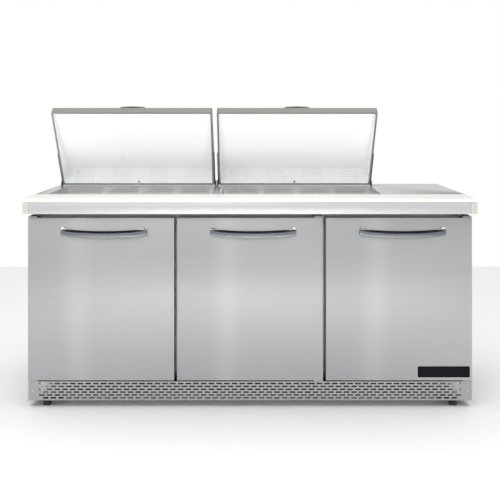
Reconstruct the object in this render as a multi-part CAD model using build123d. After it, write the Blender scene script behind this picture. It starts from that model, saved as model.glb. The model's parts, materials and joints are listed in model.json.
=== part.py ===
from build123d import *
import os
from math import hypot

# A three-door refrigerated sandwich prep table, in millimetres.
# Origin: on the floor, under the middle of the table. +X right, +Y to the back, +Z up.

# Overall sizes
width = 1829.0
depth = 762.0
work_height = 860.0

# Stainless sheet and insulation
sheet = 1.2
wall = 40.0
clearance = 0.2
running_fit = 0.05

# Worktop
apron_height = 61.0
apron_cap = 1.0
apron_cap_width = 24.0
apron_hem = 16.0
board_depth = 203.0
board_thickness = 12.7
board_gap = 1.0
well_from_front = 212.0
well_depth = 400.0
well_width = 685.0
well_divider = 53.0
well_left_margin = 53.5
well_liner_drop = 70.0
board_edge = 2.0

# Cabinet body
body_inset = 5.5
body_back_gap = 12.0
base_height = 105.0
foot_height = 27.5
foot_pad = 6.0
grille_setback = 70.0
post = 40.0
rail_depth = 40.0
floor_thickness = 44.0
ceiling_thickness = 40.0
mullion_width = 70.0
frame_overlap = 36.0

# Doors
door_count = 3
door_setback = 64.0
door_thickness = 60.0
door_gap = 10.0
door_base_gap = 6.0
door_height = 665.0
door_skin = 1.2
door_liner = 2.0
gasket_depth = 7.6
gasket_width = 16.0
gasket_inset = 12.0
door_edge = 3.0
pivot_inset = 12.0
pivot_depth = 14.0
pin_radius = 5.0
pin_length = 14.0
hinge_plate = 4.0
hinge_plate_width = 50.0
pin_end_gap = 2.0

# Door handles
handle_length = 353.0
handle_height = 30.0
handle_belly = 17.0
handle_reach = 45.0
handle_band = 15.0
handle_below_top = 36.0
handle_shift = 13.0

# Name plate on the right door, left blank
plate_width = 219.0
plate_height = 51.0
plate_thickness = 2.5
plate_side_margin = 7.0
plate_bottom_margin = 10.0
plate_corner = 6.0

# Lids, closed and then turned open
lid_width = 716.0
lid_length = 425.0
lid_overlap = 23.0
lid_front_overlap = 7.0
lid_gap = 20.0
lid_lip = 38.0
lid_rear = 120.0
lid_rim_gap = 2.0
lid_wall = 9.0
lid_skin = 1.2
lid_open_angle = 53.5
lid_pivot_height = 14.0
grip_length = 112.0
grip_height = 15.0
grip_depth = 18.0
grip_crown = 0.8
grip_nose = 0.6
arm_length = 180.0
arm_height = 18.0
arm_thickness = 4.0
arm_gap = 0.4
lid_pin_radius = 4.0
bracket_foot = 10.0

# Food pans
pan_columns = 4
pan_rows = 2
pan_pitch_x = 169.0
pan_pitch_y = 196.0
pan_rim_x = 162.0
pan_rim_y = 176.0
pan_rim_lip = 9.0
pan_depth = 100.0
pan_drop = 32.0
pan_sheet = 1.0
pan_taper = 3.0
pan_corner = 16.0
pan_bar_height = 6.0
pan_body_gap = 1.0

# Front grille
slot_length = 23.5
slot_height = 6.5
slot_pitch_x = 31.6
slot_pitch_z = 11.7
slot_rows = 6
slot_columns = 55
slot_top_margin = 8.7
screw_head = 4.0
screw_head_height = 2.4
screw_shank = 2.2
screw_inset = 18.0
screw_dome = 1.4

# Feet
foot_radius = 18.0
foot_disc = 12.0
foot_stem = 12.0
foot_chamfer = 2.0
foot_inset_x = 69.5
foot_from_front = 105.0
foot_from_back = 62.0

# Shelves and their strips
shelf_height = 470.0
shelf_width = 520.0
shelf_front_gap = 14.0
shelf_back_gap = 18.0
shelf_rod = 3.5
shelf_wire = 2.0
shelf_wires = 20
strip_width = 20.0
strip_thickness = 3.0
strip_top = 600.0
clip_reach = 12.0
clip_height = 6.0
shelf_rest = 0.3
shelf_end_gap = 1.0

# Cooling machine
machine_width = 569.0
machine_depth = 188.0
machine_top = 400.0
machine_wall = 30.0
compressor_radius = 72.0
compressor_height = 185.0
coil_width = 240.0
coil_depth = 38.0
coil_height = 205.0
coil_groove = 5.0
coil_groove_depth = 8.0
coil_grooves = 14
coil_lift = 12.0
tray_gap = 2.0
tray_height = 22.0
fan_radius = 92.0
fan_hub = 28.0
fan_depth = 22.0
fan_blades = 5
motor_radius = 30.0
motor_length = 42.0
shaft_radius = 4.0
evaporator_width = 500.0
evaporator_height = 200.0
evaporator_depth = 130.0
evaporator_top = 700.0
suction_radius = 6.0
liquid_radius = 3.0
pipe_bend = 22.0
pipe_pitch = 16.0
pipe_high = 640.0
pipe_from_machine = 110.0
pipe_from_wall = 8.0
pipe_drop = 26.0
compressor_plate = 6.0
compressor_dome = 26.0
compressor_side_gap = 45.0
compressor_front_gap = 12.0
condenser_side_gap = 28.0
condenser_back_gap = 12.0
evaporator_coil_gap = 8.0
evaporator_coil_side = 20.0
evaporator_coil_back = 4.0
fan_gap = 8.0
evaporator_fan_gap = 2.0
fan_ring_gap = 3.0
blade_thickness = 2.0
blade_chord = 34.0
blade_pitch = 35.0
blade_root = 6.0
motor_gap = 3.0
louvre_rows = 12
louvre_height = 8.0
louvre_pitch = 18.0
louvre_top = 28.0
louvre_side = 45.0
louvre_clear = 14.0
service_margin = 10.0
service_overlap = 12.0
service_rise = 4.0
inlet_width = 26.0
inlet_height = 22.0
inlet_depth = 22.0
inlet_from_side = 24.0
inlet_from_base = 50.0
inlet_flange = 5.0
inlet_flange_thickness = 3.0
inlet_wall = 4.0
inlet_socket_depth = 10.0
control_width = 55.0
control_depth = 110.0
control_height = 100.0
control_lift = 40.0
control_side_gap = 12.0
control_corner = 4.0

# Places worked out from the sizes above
front = -depth / 2
back = depth / 2
half = width / 2
body_half = half - body_inset
inner_half = body_half - wall
body_back = back - body_back_gap
inner_back = body_back - wall
door_front = front + door_setback
door_back = door_front + door_thickness
frame_front = door_back + gasket_depth + clearance * 2
frame_back = frame_front + rail_depth
floor_top = base_height + floor_thickness
ledge_top = work_height - board_thickness - clearance
body_top = ledge_top - sheet
ceiling_bottom = body_top - ceiling_thickness
apron_front = front + apron_cap
apron_bottom = work_height - apron_height
step_front = front + board_depth + board_gap
door_bottom = base_height + door_base_gap
door_top = door_bottom + door_height
door_pitch = (2 * body_half + door_gap) / door_count
door_width = door_pitch - door_gap
rail_bottom = door_top - frame_overlap
well_front = front + well_from_front
well_back = well_front + well_depth
well_middle = (well_front + well_back) / 2
pan_rest = work_height - pan_drop - pan_sheet - clearance
lid_hinge_y = well_front - lid_front_overlap + lid_length
lid_hinge_z = work_height + lid_pivot_height
lid_bottom = work_height + lid_rim_gap
lid_front = lid_hinge_y - lid_length
shelf_front = frame_back + shelf_front_gap
shelf_back = inner_back - shelf_back_gap
machine_left = inner_half - machine_width
machine_front = inner_back - machine_depth
grille_front = front + grille_setback
base_front = grille_front + sheet
evaporator_front = inner_back - evaporator_depth
evaporator_bottom = evaporator_top - evaporator_height
evaporator_middle_z = (evaporator_bottom + evaporator_top) / 2
evaporator_fan_y = evaporator_front + sheet + evaporator_fan_gap
condenser_x = machine_left + machine_wall + condenser_side_gap + coil_width / 2
condenser_y = body_back - sheet - condenser_back_gap - coil_depth
condenser_z = base_height + coil_lift
condenser_fan_y = machine_front + machine_wall + fan_gap
machine_middle_z = condenser_z + coil_height / 2
compressor_x = inner_half - compressor_radius - compressor_side_gap
compressor_y = machine_front + machine_wall + compressor_front_gap + compressor_radius
compressor_top = base_height + compressor_plate + compressor_height
pipe_x = machine_left + pipe_from_machine
pipe_y = inner_back - pipe_from_wall
inlet_x = inner_half - inlet_from_side
inlet_z = base_height + inlet_from_base

wells = []
for number in range(2):
    well_left = -half + well_left_margin + number * (well_width + well_divider)
    wells.append((well_left, well_left + well_width))
lids = []
for number in range(2):
    lid_left = wells[0][0] - lid_overlap + number * (lid_width + lid_gap)
    lids.append((lid_left, lid_left + lid_width))
bays = [0.0, 0.0, 0.0]
bays[0] = -(inner_half + door_pitch / 2 + mullion_width / 2) / 2
bays[2] = -bays[0]
doors = []
for number in range(door_count):
    door_left = -body_half + number * door_pitch
    doors.append((door_left, door_left + door_width))
sides = ("left", "right")


def slab(low, high):
    """A box between its low corner and its high corner."""
    size = [b - a for a, b in zip(low, high)]
    centre = [(a + b) / 2 for a, b in zip(low, high)]
    return Pos(*centre) * Box(*size)


def rod(start, axis, length, radius):
    """A round bar from start, along +X, +Y or +Z."""
    turns = {"x": Rot(0, 90, 0), "y": Rot(-90, 0, 0), "z": Rot(0, 0, 0)}
    bar = Cylinder(radius, length, align=(Align.CENTER, Align.CENTER, Align.MIN))
    return Pos(*start) * turns[axis] * bar


def mirrored(shape):
    """A shape and its mirror image across the table's middle."""
    return [shape, mirror(shape, about=Plane.YZ)]


def open_box(x, y, z, wall_x, wall_y):
    """A ring of four upright walls, outside the given opening."""
    outer = slab((x[0] - wall_x, y[0] - wall_y, z[0]), (x[1] + wall_x, y[1] + wall_y, z[1]))
    inner = slab((x[0], y[0], z[0] - 1), (x[1], y[1], z[1] + 1))
    return outer - inner


def worktop():
    top = slab((-half, step_front, work_height - sheet), (half, back, work_height))
    step = slab((-half, step_front, body_top), (half, step_front + sheet, work_height))
    ledge = slab((-half, apron_front, body_top), (half, step_front + sheet, ledge_top))
    apron = slab((-half, apron_front, apron_bottom), (half, apron_front + sheet, ledge_top))
    hem = slab((-half, apron_front, apron_bottom), (half, apron_front + apron_hem, apron_bottom + sheet))
    rear = slab((-half, back - sheet, apron_bottom), (half, back, work_height))
    low_side = slab((half - sheet, apron_front, apron_bottom), (half, step_front + sheet, ledge_top))
    high_side = slab((half - sheet, step_front, apron_bottom), (half, back, work_height))
    shape = top + [step, ledge, apron, hem, rear] + mirrored(low_side) + mirrored(high_side)
    for left, right in wells:
        shape -= slab((left, well_front, body_top), (right, well_back, work_height + 1))
    for low_x, high_x in bracket_places():
        shape -= bracket_cheek(low_x, high_x, work_height - sheet - 1, work_height + 1)
    return shape


def apron_end_caps():
    cap = slab((half - apron_cap_width, front, apron_bottom), (half, apron_front, ledge_top))
    return mirrored(cap)


def cutting_board():
    board = slab((-half, front, work_height - board_thickness), (half, front + board_depth, work_height))
    return fillet(board.edges().filter_by(Axis.X), board_edge)


def well_liners():
    shapes = []
    reach_x = pan_pitch_x * (pan_columns - 1) / 2 + pan_rim_x / 2 - pan_rim_lip + pan_body_gap
    reach_y = pan_pitch_y * (pan_rows - 1) / 2 + pan_rim_y / 2 - pan_rim_lip + pan_body_gap
    for left, right in wells:
        middle = (left + right) / 2
        bottom = work_height - well_liner_drop
        ring = open_box((left, right), (well_front, well_back), (bottom, work_height - sheet), sheet, sheet)
        ledge = slab((left, well_front, pan_rest - sheet), (right, well_back, pan_rest))
        hole = slab(
            (middle - reach_x, well_middle - reach_y, bottom),
            (middle + reach_x, well_middle + reach_y, work_height),
        )
        shapes.append(ring + (ledge - hole))
    return shapes


def pan_bars():
    shapes = []
    body_x = pan_rim_x - 2 * pan_rim_lip + 2 * pan_body_gap
    body_y = pan_rim_y - 2 * pan_rim_lip + 2 * pan_body_gap
    row_bar = (pan_pitch_y - body_y) / 2
    column_bar = (pan_pitch_x - body_x) / 2
    reach_x = (pan_pitch_x * (pan_columns - 1) + body_x) / 2
    reach_y = (pan_pitch_y * (pan_rows - 1) + body_y) / 2
    low = pan_rest - pan_bar_height
    for left, right in wells:
        middle = (left + right) / 2
        across = slab(
            (middle - reach_x, well_middle - row_bar, low),
            (middle + reach_x, well_middle + row_bar, pan_rest),
        )
        shapes.append(across)
        for column in range(1, pan_columns):
            x = middle + pan_pitch_x * (column - pan_columns / 2)
            shapes.append(
                slab(
                    (x - column_bar, well_middle - reach_y, low),
                    (x + column_bar, well_middle - row_bar, pan_rest),
                )
            )
            shapes.append(
                slab(
                    (x - column_bar, well_middle + row_bar, low),
                    (x + column_bar, well_middle + reach_y, pan_rest),
                )
            )
    return shapes


def food_pan():
    """One pan, with its rim's underside at height 0."""
    body_x = pan_rim_x - 2 * pan_rim_lip
    body_y = pan_rim_y - 2 * pan_rim_lip
    hollow = RectangleRounded(body_x - 2 * pan_sheet, body_y - 2 * pan_sheet, pan_corner - pan_sheet)
    outer = extrude(RectangleRounded(body_x, body_y, pan_corner), -pan_depth, taper=pan_taper)
    inner = extrude(hollow, pan_sheet - pan_depth, taper=pan_taper)
    rim = extrude(RectangleRounded(pan_rim_x, pan_rim_y, pan_corner), pan_sheet)
    return (outer + rim) - inner - extrude(hollow, pan_sheet)


def food_pans(well):
    pan = food_pan()
    middle = (well[0] + well[1]) / 2
    shapes = []
    for column in range(pan_columns):
        for row in range(pan_rows):
            x = middle + pan_pitch_x * (column - (pan_columns - 1) / 2)
            y = well_middle + pan_pitch_y * (row - (pan_rows - 1) / 2)
            shapes.append(Pos(x, y, pan_rest + clearance) * pan)
    return shapes


def opened(shape):
    """Turns a closed lid's piece about the hinge to the open position."""
    hinge = Axis((0, lid_hinge_y, lid_hinge_z), (1, 0, 0))
    return shape.rotate(hinge, -lid_open_angle)


def lid_block(lid, inset):
    """The closed lid's outer block, drawn in by inset everywhere but the rim."""
    slope = (lid_rear - lid_lip) / lid_length
    drop = inset * hypot(1, slope)
    y_front = lid_front + inset
    y_rear = lid_hinge_y - inset
    z_front = lid_bottom + lid_lip + slope * inset - drop
    z_rear = lid_bottom + lid_rear - slope * inset - drop
    corners = [(y_front, lid_bottom), (y_front, z_front), (y_rear, z_rear), (y_rear, lid_bottom)]
    face = make_face(Plane.YZ * Polyline(*corners, close=True))
    block = extrude(face, lid[1] - lid[0] - 2 * inset, dir=(1, 0, 0))
    return Pos(lid[0] + inset, 0, 0) * block


def lid_shell(lid):
    shell = lid_block(lid, 0) - lid_block(lid, lid_skin)
    inner = lid_wall - lid_skin
    rim = open_box(
        (lid[0] + inner, lid[1] - inner),
        (lid_front + inner, lid_hinge_y - inner),
        (lid_bottom, lid_bottom + lid_skin),
        inner - lid_skin / 2,
        inner - lid_skin / 2,
    )
    return opened(shell + rim)


def lid_liner(lid):
    return opened(lid_block(lid, lid_wall - lid_skin) - lid_block(lid, lid_wall))


def lid_grip(lid):
    middle = (lid[0] + lid[1]) / 2
    slope = (lid_rear - lid_lip) / lid_length
    y = lid_front + grip_depth
    low = lid_bottom + lid_lip
    outline = Polyline(
        (lid_front, low),
        (y, low + slope * grip_depth),
        (y, low + grip_height * grip_crown),
        (y - grip_depth / 2, low + grip_height),
        (lid_front, low + grip_height * grip_nose),
        close=True,
    )
    bar = extrude(make_face(Plane.YZ * outline), grip_length, dir=(1, 0, 0))
    return opened(Pos(middle - grip_length / 2, 0, 0) * bar)


def lid_hinge_arms(lid):
    shapes = []
    radius = arm_height / 2
    for x in (lid[0] - arm_thickness, lid[1]):
        flat = slab(
            (x, lid_hinge_y - arm_length, lid_hinge_z - radius),
            (x + arm_thickness, lid_hinge_y, lid_hinge_z + radius),
        )
        eye = rod((x, lid_hinge_y, lid_hinge_z), "x", arm_thickness, radius)
        hole = rod((x - 1, lid_hinge_y, lid_hinge_z), "x", arm_thickness + 2, lid_pin_radius + running_fit)
        shapes.append(opened(flat + eye - hole))
    return shapes


def bracket_places():
    """Where each hinge bracket starts and ends across the table."""
    places = []
    for left, right in lids:
        near = left - arm_thickness - arm_gap
        places.append((near - arm_thickness, near))
        near = right + arm_thickness + arm_gap
        places.append((near, near + arm_thickness))
    return places


def bracket_cheek(low_x, high_x, low_z, high_z):
    """A bracket's upright plate between two heights."""
    reach = lid_pivot_height
    return slab((low_x, lid_hinge_y - reach, low_z), (high_x, lid_hinge_y + reach, high_z))


def lid_hinge_brackets():
    """Plates that stand in slots in the worktop, each with a pin through the lid's arm."""
    shapes = []
    reach = 2 * arm_thickness + arm_gap
    for place, (low_x, high_x) in enumerate(bracket_places()):
        cheek = bracket_cheek(low_x, high_x, work_height - bracket_foot, lid_hinge_z)
        crown = rod((low_x, lid_hinge_y, lid_hinge_z), "x", arm_thickness, lid_pivot_height)
        pin_start = high_x - arm_thickness if place % 2 == 0 else high_x - reach
        pin = rod((pin_start, lid_hinge_y, lid_hinge_z), "x", reach, lid_pin_radius)
        shapes.append(cheek + crown + pin)
    return shapes


def side_panels():
    outer = slab((body_half - sheet, frame_front, base_height), (body_half, body_back, body_top))
    stile = slab((inner_half, frame_front, base_height), (body_half, frame_front + sheet, body_top))
    return mirrored(outer + stile)


def service_opening(low_y, high_y):
    """The hole in the back, behind the cooling machine."""
    left = machine_left + machine_wall + service_margin
    right = inner_half - service_margin
    return slab(
        (left, low_y, base_height + service_margin),
        (right, high_y, machine_top - machine_wall - service_margin),
    )


def machine_space():
    """The room inside the machine housing, from the deck up and through the back wall."""
    return slab(
        (machine_left + machine_wall, machine_front + machine_wall, base_height),
        (inner_half, body_back - sheet, machine_top - machine_wall),
    )


def back_panel():
    panel = slab(
        (-body_half + sheet, body_back - sheet, base_height), (body_half - sheet, body_back, body_top)
    )
    return panel - service_opening(body_back - 2, body_back + 1)


def wall_foam():
    side = slab(
        (inner_half + sheet, frame_front + sheet, base_height),
        (body_half - sheet, body_back - sheet, body_top),
    )
    rear = slab(
        (-inner_half - sheet, inner_back + sheet, base_height),
        (inner_half + sheet, body_back - sheet, body_top),
    )
    floor = slab(
        (-inner_half - sheet, frame_back, base_height),
        (inner_half + sheet, inner_back + sheet, floor_top - sheet),
    )
    level, upright = frame_places()
    cores = [frame_core(low, high, False) for low, high in level]
    cores += [frame_core(low, high, True) for low, high in upright]
    return mirrored(side) + [rear - machine_space(), floor - machine_space()] + cores


def interior_liner():
    side = slab(
        (inner_half, frame_front + sheet, floor_top),
        (inner_half + sheet, inner_back, ceiling_bottom),
    )
    rear = slab(
        (-inner_half - sheet, inner_back, floor_top),
        (inner_half + sheet, inner_back + sheet, ceiling_bottom),
    )
    floor = slab(
        (-inner_half - sheet, frame_back, floor_top - sheet),
        (inner_half + sheet, inner_back + sheet, floor_top),
    )
    return mirrored(side) + [rear - machine_space(), floor - machine_space()]


def ceiling_panel():
    panel = slab(
        (-inner_half, frame_back, ceiling_bottom), (inner_half, inner_back, body_top)
    )
    for left, right in wells:
        panel -= slab(
            (left - sheet, well_front - sheet, ceiling_bottom - 1),
            (right + sheet, well_back + sheet, body_top + 1),
        )
    return panel


def frame_places():
    """The front frame's rail and sill, and then its two mullions, each as two corners."""
    rail = ((-inner_half, frame_front, rail_bottom), (inner_half, frame_back, body_top))
    sill = ((-inner_half, frame_front, base_height), (inner_half, frame_back, floor_top))
    mullions = []
    for side in (-1, 1):
        low_x = side * door_pitch / 2 - mullion_width / 2
        high_x = low_x + mullion_width
        mullions.append(((low_x, frame_front, floor_top), (high_x, frame_back, rail_bottom)))
    return [rail, sill], mullions


def frame_core(low, high, upright):
    """The foam inside a folded tube of the front frame, which is open at both ends."""
    inset = (sheet, sheet, 0) if upright else (0, sheet, sheet)
    return slab([a + b for a, b in zip(low, inset)], [a - b for a, b in zip(high, inset)])


def front_frame():
    level, upright = frame_places()
    shapes = [slab(low, high) - frame_core(low, high, False) for low, high in level]
    return shapes + [slab(low, high) - frame_core(low, high, True) for low, high in upright]


def base_frame():
    low = foot_height + foot_pad
    top = base_height - sheet
    pad_in = body_half - 2 * foot_inset_x
    shapes = [slab((-body_half, base_front, top), (body_half, body_back, base_height))]
    for y_low, y_high in ((base_front, base_front + post), (body_back - post, body_back)):
        shapes += mirrored(slab((body_half - post, y_low, low), (body_half, y_high, top)))
    pad_front = front + foot_from_front + foot_radius
    pad_rear = back - foot_from_back - foot_radius
    shapes += mirrored(slab((pad_in, base_front, foot_height), (body_half, pad_front, low)))
    shapes += mirrored(slab((pad_in, pad_rear, foot_height), (body_half, body_back, low)))
    side_rail = slab(
        (body_half - sheet, base_front + post, foot_height + foot_pad), (body_half, body_back - post, top)
    )
    shapes += mirrored(side_rail)
    inner = body_half - post
    shapes.append(slab((-inner, body_back - sheet, base_height - post), (inner, body_back, top)))
    return shapes


def front_grille():
    """A pressed plate with staggered rows of round-ended slots."""
    centre_z = (foot_height + base_height) / 2
    plate = Rectangle(2 * body_half, base_height - foot_height)
    slots = []
    for row in range(slot_rows):
        columns = slot_columns - row % 2
        z = base_height - slot_top_margin - row * slot_pitch_z - centre_z
        for column in range(columns):
            x = (column - (columns - 1) / 2) * slot_pitch_x
            slots.append(Pos(x, z) * SlotOverall(slot_length, slot_height))
    holes = [Pos(x, 0) * Circle(screw_shank + running_fit) for x in screw_places()]
    sheet_metal = extrude((plate - slots) - holes, sheet)
    return Pos(0, base_front, centre_z) * Rot(90, 0, 0) * sheet_metal


def screw_places():
    return (-body_half + screw_inset, body_half - screw_inset)


def grille_screws():
    shapes = []
    z = (foot_height + base_height) / 2
    for x in screw_places():
        shank = rod((x, grille_front, z), "y", sheet, screw_shank)
        head = rod((x, grille_front - screw_head_height, z), "y", screw_head_height, screw_head)
        head = fillet(head.edges().group_by(Axis.Y)[0], screw_dome)
        shapes.append(shank + head)
    return shapes


def levelling_feet():
    shapes = []
    x = body_half - foot_inset_x
    for y in (front + foot_from_front, back - foot_from_back):
        disc = rod((x, y, 0), "z", foot_disc, foot_radius)
        disc = chamfer(disc.edges().group_by(Axis.Z)[-1], foot_chamfer)
        stem = rod((x, y, foot_disc), "z", foot_height - foot_disc, foot_stem)
        shapes += mirrored(disc + stem)
    return shapes


def shelf_strips():
    """Upright strips at each shelf's four corners, with a clip on each."""
    shapes = []
    for bay in bays:
        over_machine = bay + shelf_width / 2 > machine_left
        for side in (-1, 1):
            edge = bay + side * (shelf_width / 2 + shelf_end_gap)
            out = edge + side * strip_thickness
            low_x, high_x = min(edge, out), max(edge, out)
            for y, bottom in ((frame_back, floor_top), (inner_back - strip_width, machine_top)):
                if y > frame_back and not over_machine:
                    bottom = floor_top
                strip = slab((low_x, y, bottom), (high_x, y + strip_width, strip_top))
                reach = edge - side * clip_reach
                clip = slab(
                    (min(edge, reach), y, shelf_height - clip_height),
                    (max(edge, reach), y + strip_width, shelf_height),
                )
                shapes.append(strip + clip)
    return shapes


def wire_shelf():
    """One shelf, centred on X, at its place in Y and Z."""
    z = shelf_height + shelf_rest + shelf_rod
    x = shelf_width / 2 - shelf_rod
    length = shelf_back - shelf_front
    bars = mirrored(rod((x, shelf_front, z), "y", length, shelf_rod))
    for y in (shelf_front + shelf_rod, shelf_back - shelf_rod):
        bars.append(rod((-x, y, z), "x", 2 * x, shelf_rod))
    for number in range(1, shelf_wires):
        wire_x = -x + 2 * x * number / shelf_wires
        start = (wire_x, shelf_front + shelf_rod, z + shelf_wire)
        bars.append(rod(start, "y", length - 2 * shelf_rod, shelf_wire))
    return bars[0] + bars[1:]


def fan(x, y, z):
    """A fan with its shaft along Y, its front face at y."""
    hub = rod((x, y, z), "y", fan_depth, fan_hub)
    hub -= rod((x, y - 1, z), "y", fan_depth + 2, shaft_radius + running_fit)
    span = fan_radius - fan_hub + blade_root
    middle = fan_radius - blade_root / 2 - span / 2
    blade = Pos(middle, 0, 0) * Rot(blade_pitch, 0, 0) * Box(span, blade_thickness, blade_chord)
    blades = []
    for number in range(fan_blades):
        blades.append(Pos(x, y + fan_depth / 2, z) * Rot(0, number * 360 / fan_blades, 0) * blade)
    return hub + blades


def fan_motor(x, y, z):
    """A round motor behind a fan whose back face is at y, with its shaft forward."""
    body = rod((x, y + motor_gap, z), "y", motor_length, motor_radius)
    shaft = rod((x, y - fan_depth, z), "y", fan_depth + motor_gap, shaft_radius)
    return body + shaft


def evaporator_housing():
    x = evaporator_width / 2
    top = slab((-x, evaporator_front, evaporator_top - sheet), (x, inner_back, evaporator_top))
    face = slab((-x, evaporator_front, evaporator_bottom), (x, evaporator_front + sheet, evaporator_top))
    hole = rod((0, evaporator_front - 1, evaporator_middle_z), "y", sheet + 2, fan_radius + fan_ring_gap)
    side = slab((x - sheet, evaporator_front, evaporator_bottom), (x, inner_back, evaporator_top))
    return (top + [face] + mirrored(side)) - hole


def finned_coil(low, high):
    """A coil block with upright grooves between its fins."""
    block = slab(low, high)
    pitch = (high[0] - low[0]) / (coil_grooves + 1)
    for number in range(1, coil_grooves + 1):
        x = low[0] + number * pitch
        block -= slab(
            (x - coil_groove / 2, low[1] - 1, low[2] - 1),
            (x + coil_groove / 2, low[1] + coil_groove_depth, high[2] + 1),
        )
    return block


def evaporator_coil():
    x = evaporator_width / 2 - evaporator_coil_side
    back_y = inner_back - evaporator_coil_back
    low = evaporator_bottom + evaporator_coil_gap
    high = evaporator_top - evaporator_coil_gap
    return finned_coil((-x, back_y - coil_depth, low), (x, back_y, high))


def condenser_coil():
    x = coil_width / 2
    low = (condenser_x - x, condenser_y, condenser_z)
    return finned_coil(low, (condenser_x + x, condenser_y + coil_depth, condenser_z + coil_height))


def fan_motors():
    hot = fan_motor(condenser_x, condenser_fan_y + fan_depth, machine_middle_z)
    cold = fan_motor(0, evaporator_fan_y + fan_depth, evaporator_middle_z)
    return [hot, cold]


def machine_housing():
    front_wall = slab(
        (machine_left, machine_front, floor_top), (inner_half, machine_front + machine_wall, machine_top)
    )
    left_wall = slab(
        (machine_left, machine_front + machine_wall, floor_top),
        (machine_left + machine_wall, inner_back, machine_top),
    )
    roof = slab(
        (machine_left + machine_wall, machine_front + machine_wall, machine_top - machine_wall),
        (inner_half, inner_back, machine_top),
    )
    notch = slab(
        (pipe_x - 2 * pipe_pitch, pipe_y - pipe_pitch, machine_top - machine_wall - 1),
        (pipe_x + pipe_pitch, inner_back + 1, machine_top + 1),
    )
    return [front_wall, left_wall, roof - notch]


def compressor():
    plate = slab(
        (compressor_x - compressor_radius, compressor_y - compressor_radius, base_height),
        (compressor_x + compressor_radius, compressor_y + compressor_radius, base_height + compressor_plate),
    )
    foot = (compressor_x, compressor_y, base_height + compressor_plate)
    can = rod(foot, "z", compressor_height, compressor_radius)
    can = fillet(can.edges().group_by(Axis.Z)[-1], compressor_dome)
    return plate + can


def refrigerant_lines():
    """The suction and liquid lines, up through the housing to the evaporator."""
    shapes = []
    run_z = machine_top - machine_wall - pipe_drop
    for number, radius in enumerate((suction_radius, liquid_radius)):
        shift = number * pipe_pitch
        start = (compressor_x - shift, compressor_y, compressor_top)
        points = [
            start,
            (start[0], start[1], run_z - shift),
            (pipe_x - shift, start[1], run_z - shift),
            (pipe_x - shift, pipe_y, run_z - shift),
            (pipe_x - shift, pipe_y, pipe_high + shift),
            (evaporator_width / 2, pipe_y, pipe_high + shift),
        ]
        path = FilletPolyline(*points, radius=pipe_bend)
        section = Plane(origin=start, z_dir=(0, 0, 1)) * Circle(radius)
        shapes.append(sweep(section, path=path))
    return shapes


def drain_pan():
    """A shallow tray around the condenser coil's foot."""
    x = (condenser_x - coil_width / 2 - tray_gap, condenser_x + coil_width / 2 + tray_gap)
    y = (condenser_y - tray_gap, condenser_y + coil_depth + tray_gap)
    rim = open_box(x, y, (base_height, base_height + tray_height), sheet, sheet)
    floor = slab(
        (x[0] - sheet, y[0] - sheet, base_height),
        (x[1] + sheet, y[1] + sheet, base_height + sheet),
    )
    return rim + floor


def control_box():
    right = compressor_x - compressor_radius - control_side_gap
    y = machine_front + machine_wall
    z = base_height + control_lift
    box = slab((right - control_width, y, z), (right, y + control_depth, z + control_height))
    return fillet(box.edges().filter_by(Axis.Y), control_corner)


def rear_service_grille():
    left = machine_left + machine_wall + service_margin - service_overlap
    right = inner_half - service_margin + service_overlap
    low = base_height + service_margin - service_overlap + service_rise
    high = machine_top - machine_wall - service_margin + service_overlap
    plate = slab((left, body_back, low), (right, body_back + sheet, high))
    reach = ((right - left) / 2 - louvre_side) / 2
    slots = []
    for row in range(louvre_rows):
        z = high - louvre_top - row * louvre_pitch
        for middle in ((3 * left + right) / 4, (left + 3 * right) / 4 - louvre_clear):
            slots.append(
                slab((middle - reach, body_back - 1, z - louvre_height), (middle + reach, body_back + 2, z))
            )
    return (plate - slots) - inlet_body(running_fit * 2)


def inlet_body(gap):
    """The inlet's block, from behind the grille to its face, grown by gap for its hole."""
    x = inlet_width / 2 + gap
    z = inlet_height / 2 + gap
    return slab(
        (inlet_x - x, body_back - inlet_depth, inlet_z - z), (inlet_x + x, body_back + sheet, inlet_z + z)
    )


def power_inlet():
    x = inlet_width / 2
    z = inlet_height / 2
    face = body_back + sheet
    flange = slab(
        (inlet_x - x - inlet_flange, face, inlet_z - z - inlet_flange),
        (inlet_x + x + inlet_flange, face + inlet_flange_thickness, inlet_z + z + inlet_flange),
    )
    socket = slab(
        (inlet_x - x + inlet_wall, body_back - inlet_socket_depth, inlet_z - z + inlet_wall),
        (inlet_x + x - inlet_wall, face + inlet_flange_thickness + 1, inlet_z + z - inlet_wall),
    )
    return inlet_body(0) + flange - socket


def pivot_x(number):
    """The left door hangs on its left edge, the other two on their right."""
    left, right = doors[number]
    if number == 0:
        return left + pivot_inset
    return right - pivot_inset


def door_hinge_brackets():
    shapes = []
    y = door_front + pivot_depth
    reach = hinge_plate_width / 2
    for number in range(door_count):
        x = pivot_x(number)
        wide = (x - reach, x + pivot_inset - clearance)
        if number == 0:
            wide = (x - pivot_inset + clearance, x + reach)
        low_plate = slab(
            (wide[0], base_front, base_height),
            (wide[1], frame_front, base_height + hinge_plate),
        )
        low_pin = rod((x, y, base_height + hinge_plate), "z", pin_length, pin_radius)
        high_z = door_top + door_base_gap - hinge_plate
        high_plate = slab((wide[0], door_front, high_z), (wide[1], frame_front, high_z + hinge_plate))
        high_pin = rod((x, y, high_z - pin_length), "z", pin_length, pin_radius)
        flange = slab((wide[0], frame_front - hinge_plate, high_z), (wide[1], frame_front, apron_bottom - 1))
        shapes.append(low_plate + low_pin)
        shapes.append(high_plate + [high_pin, flange])
    return shapes


def pivot_holes(number, radius):
    """The two blind holes in a door's foot and head."""
    y = door_front + pivot_depth
    x = pivot_x(number)
    deep = pin_length - door_base_gap + hinge_plate + pin_end_gap
    return [
        rod((x, y, door_bottom), "z", deep, radius),
        rod((x, y, door_top - deep), "z", deep, radius),
    ]


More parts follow.
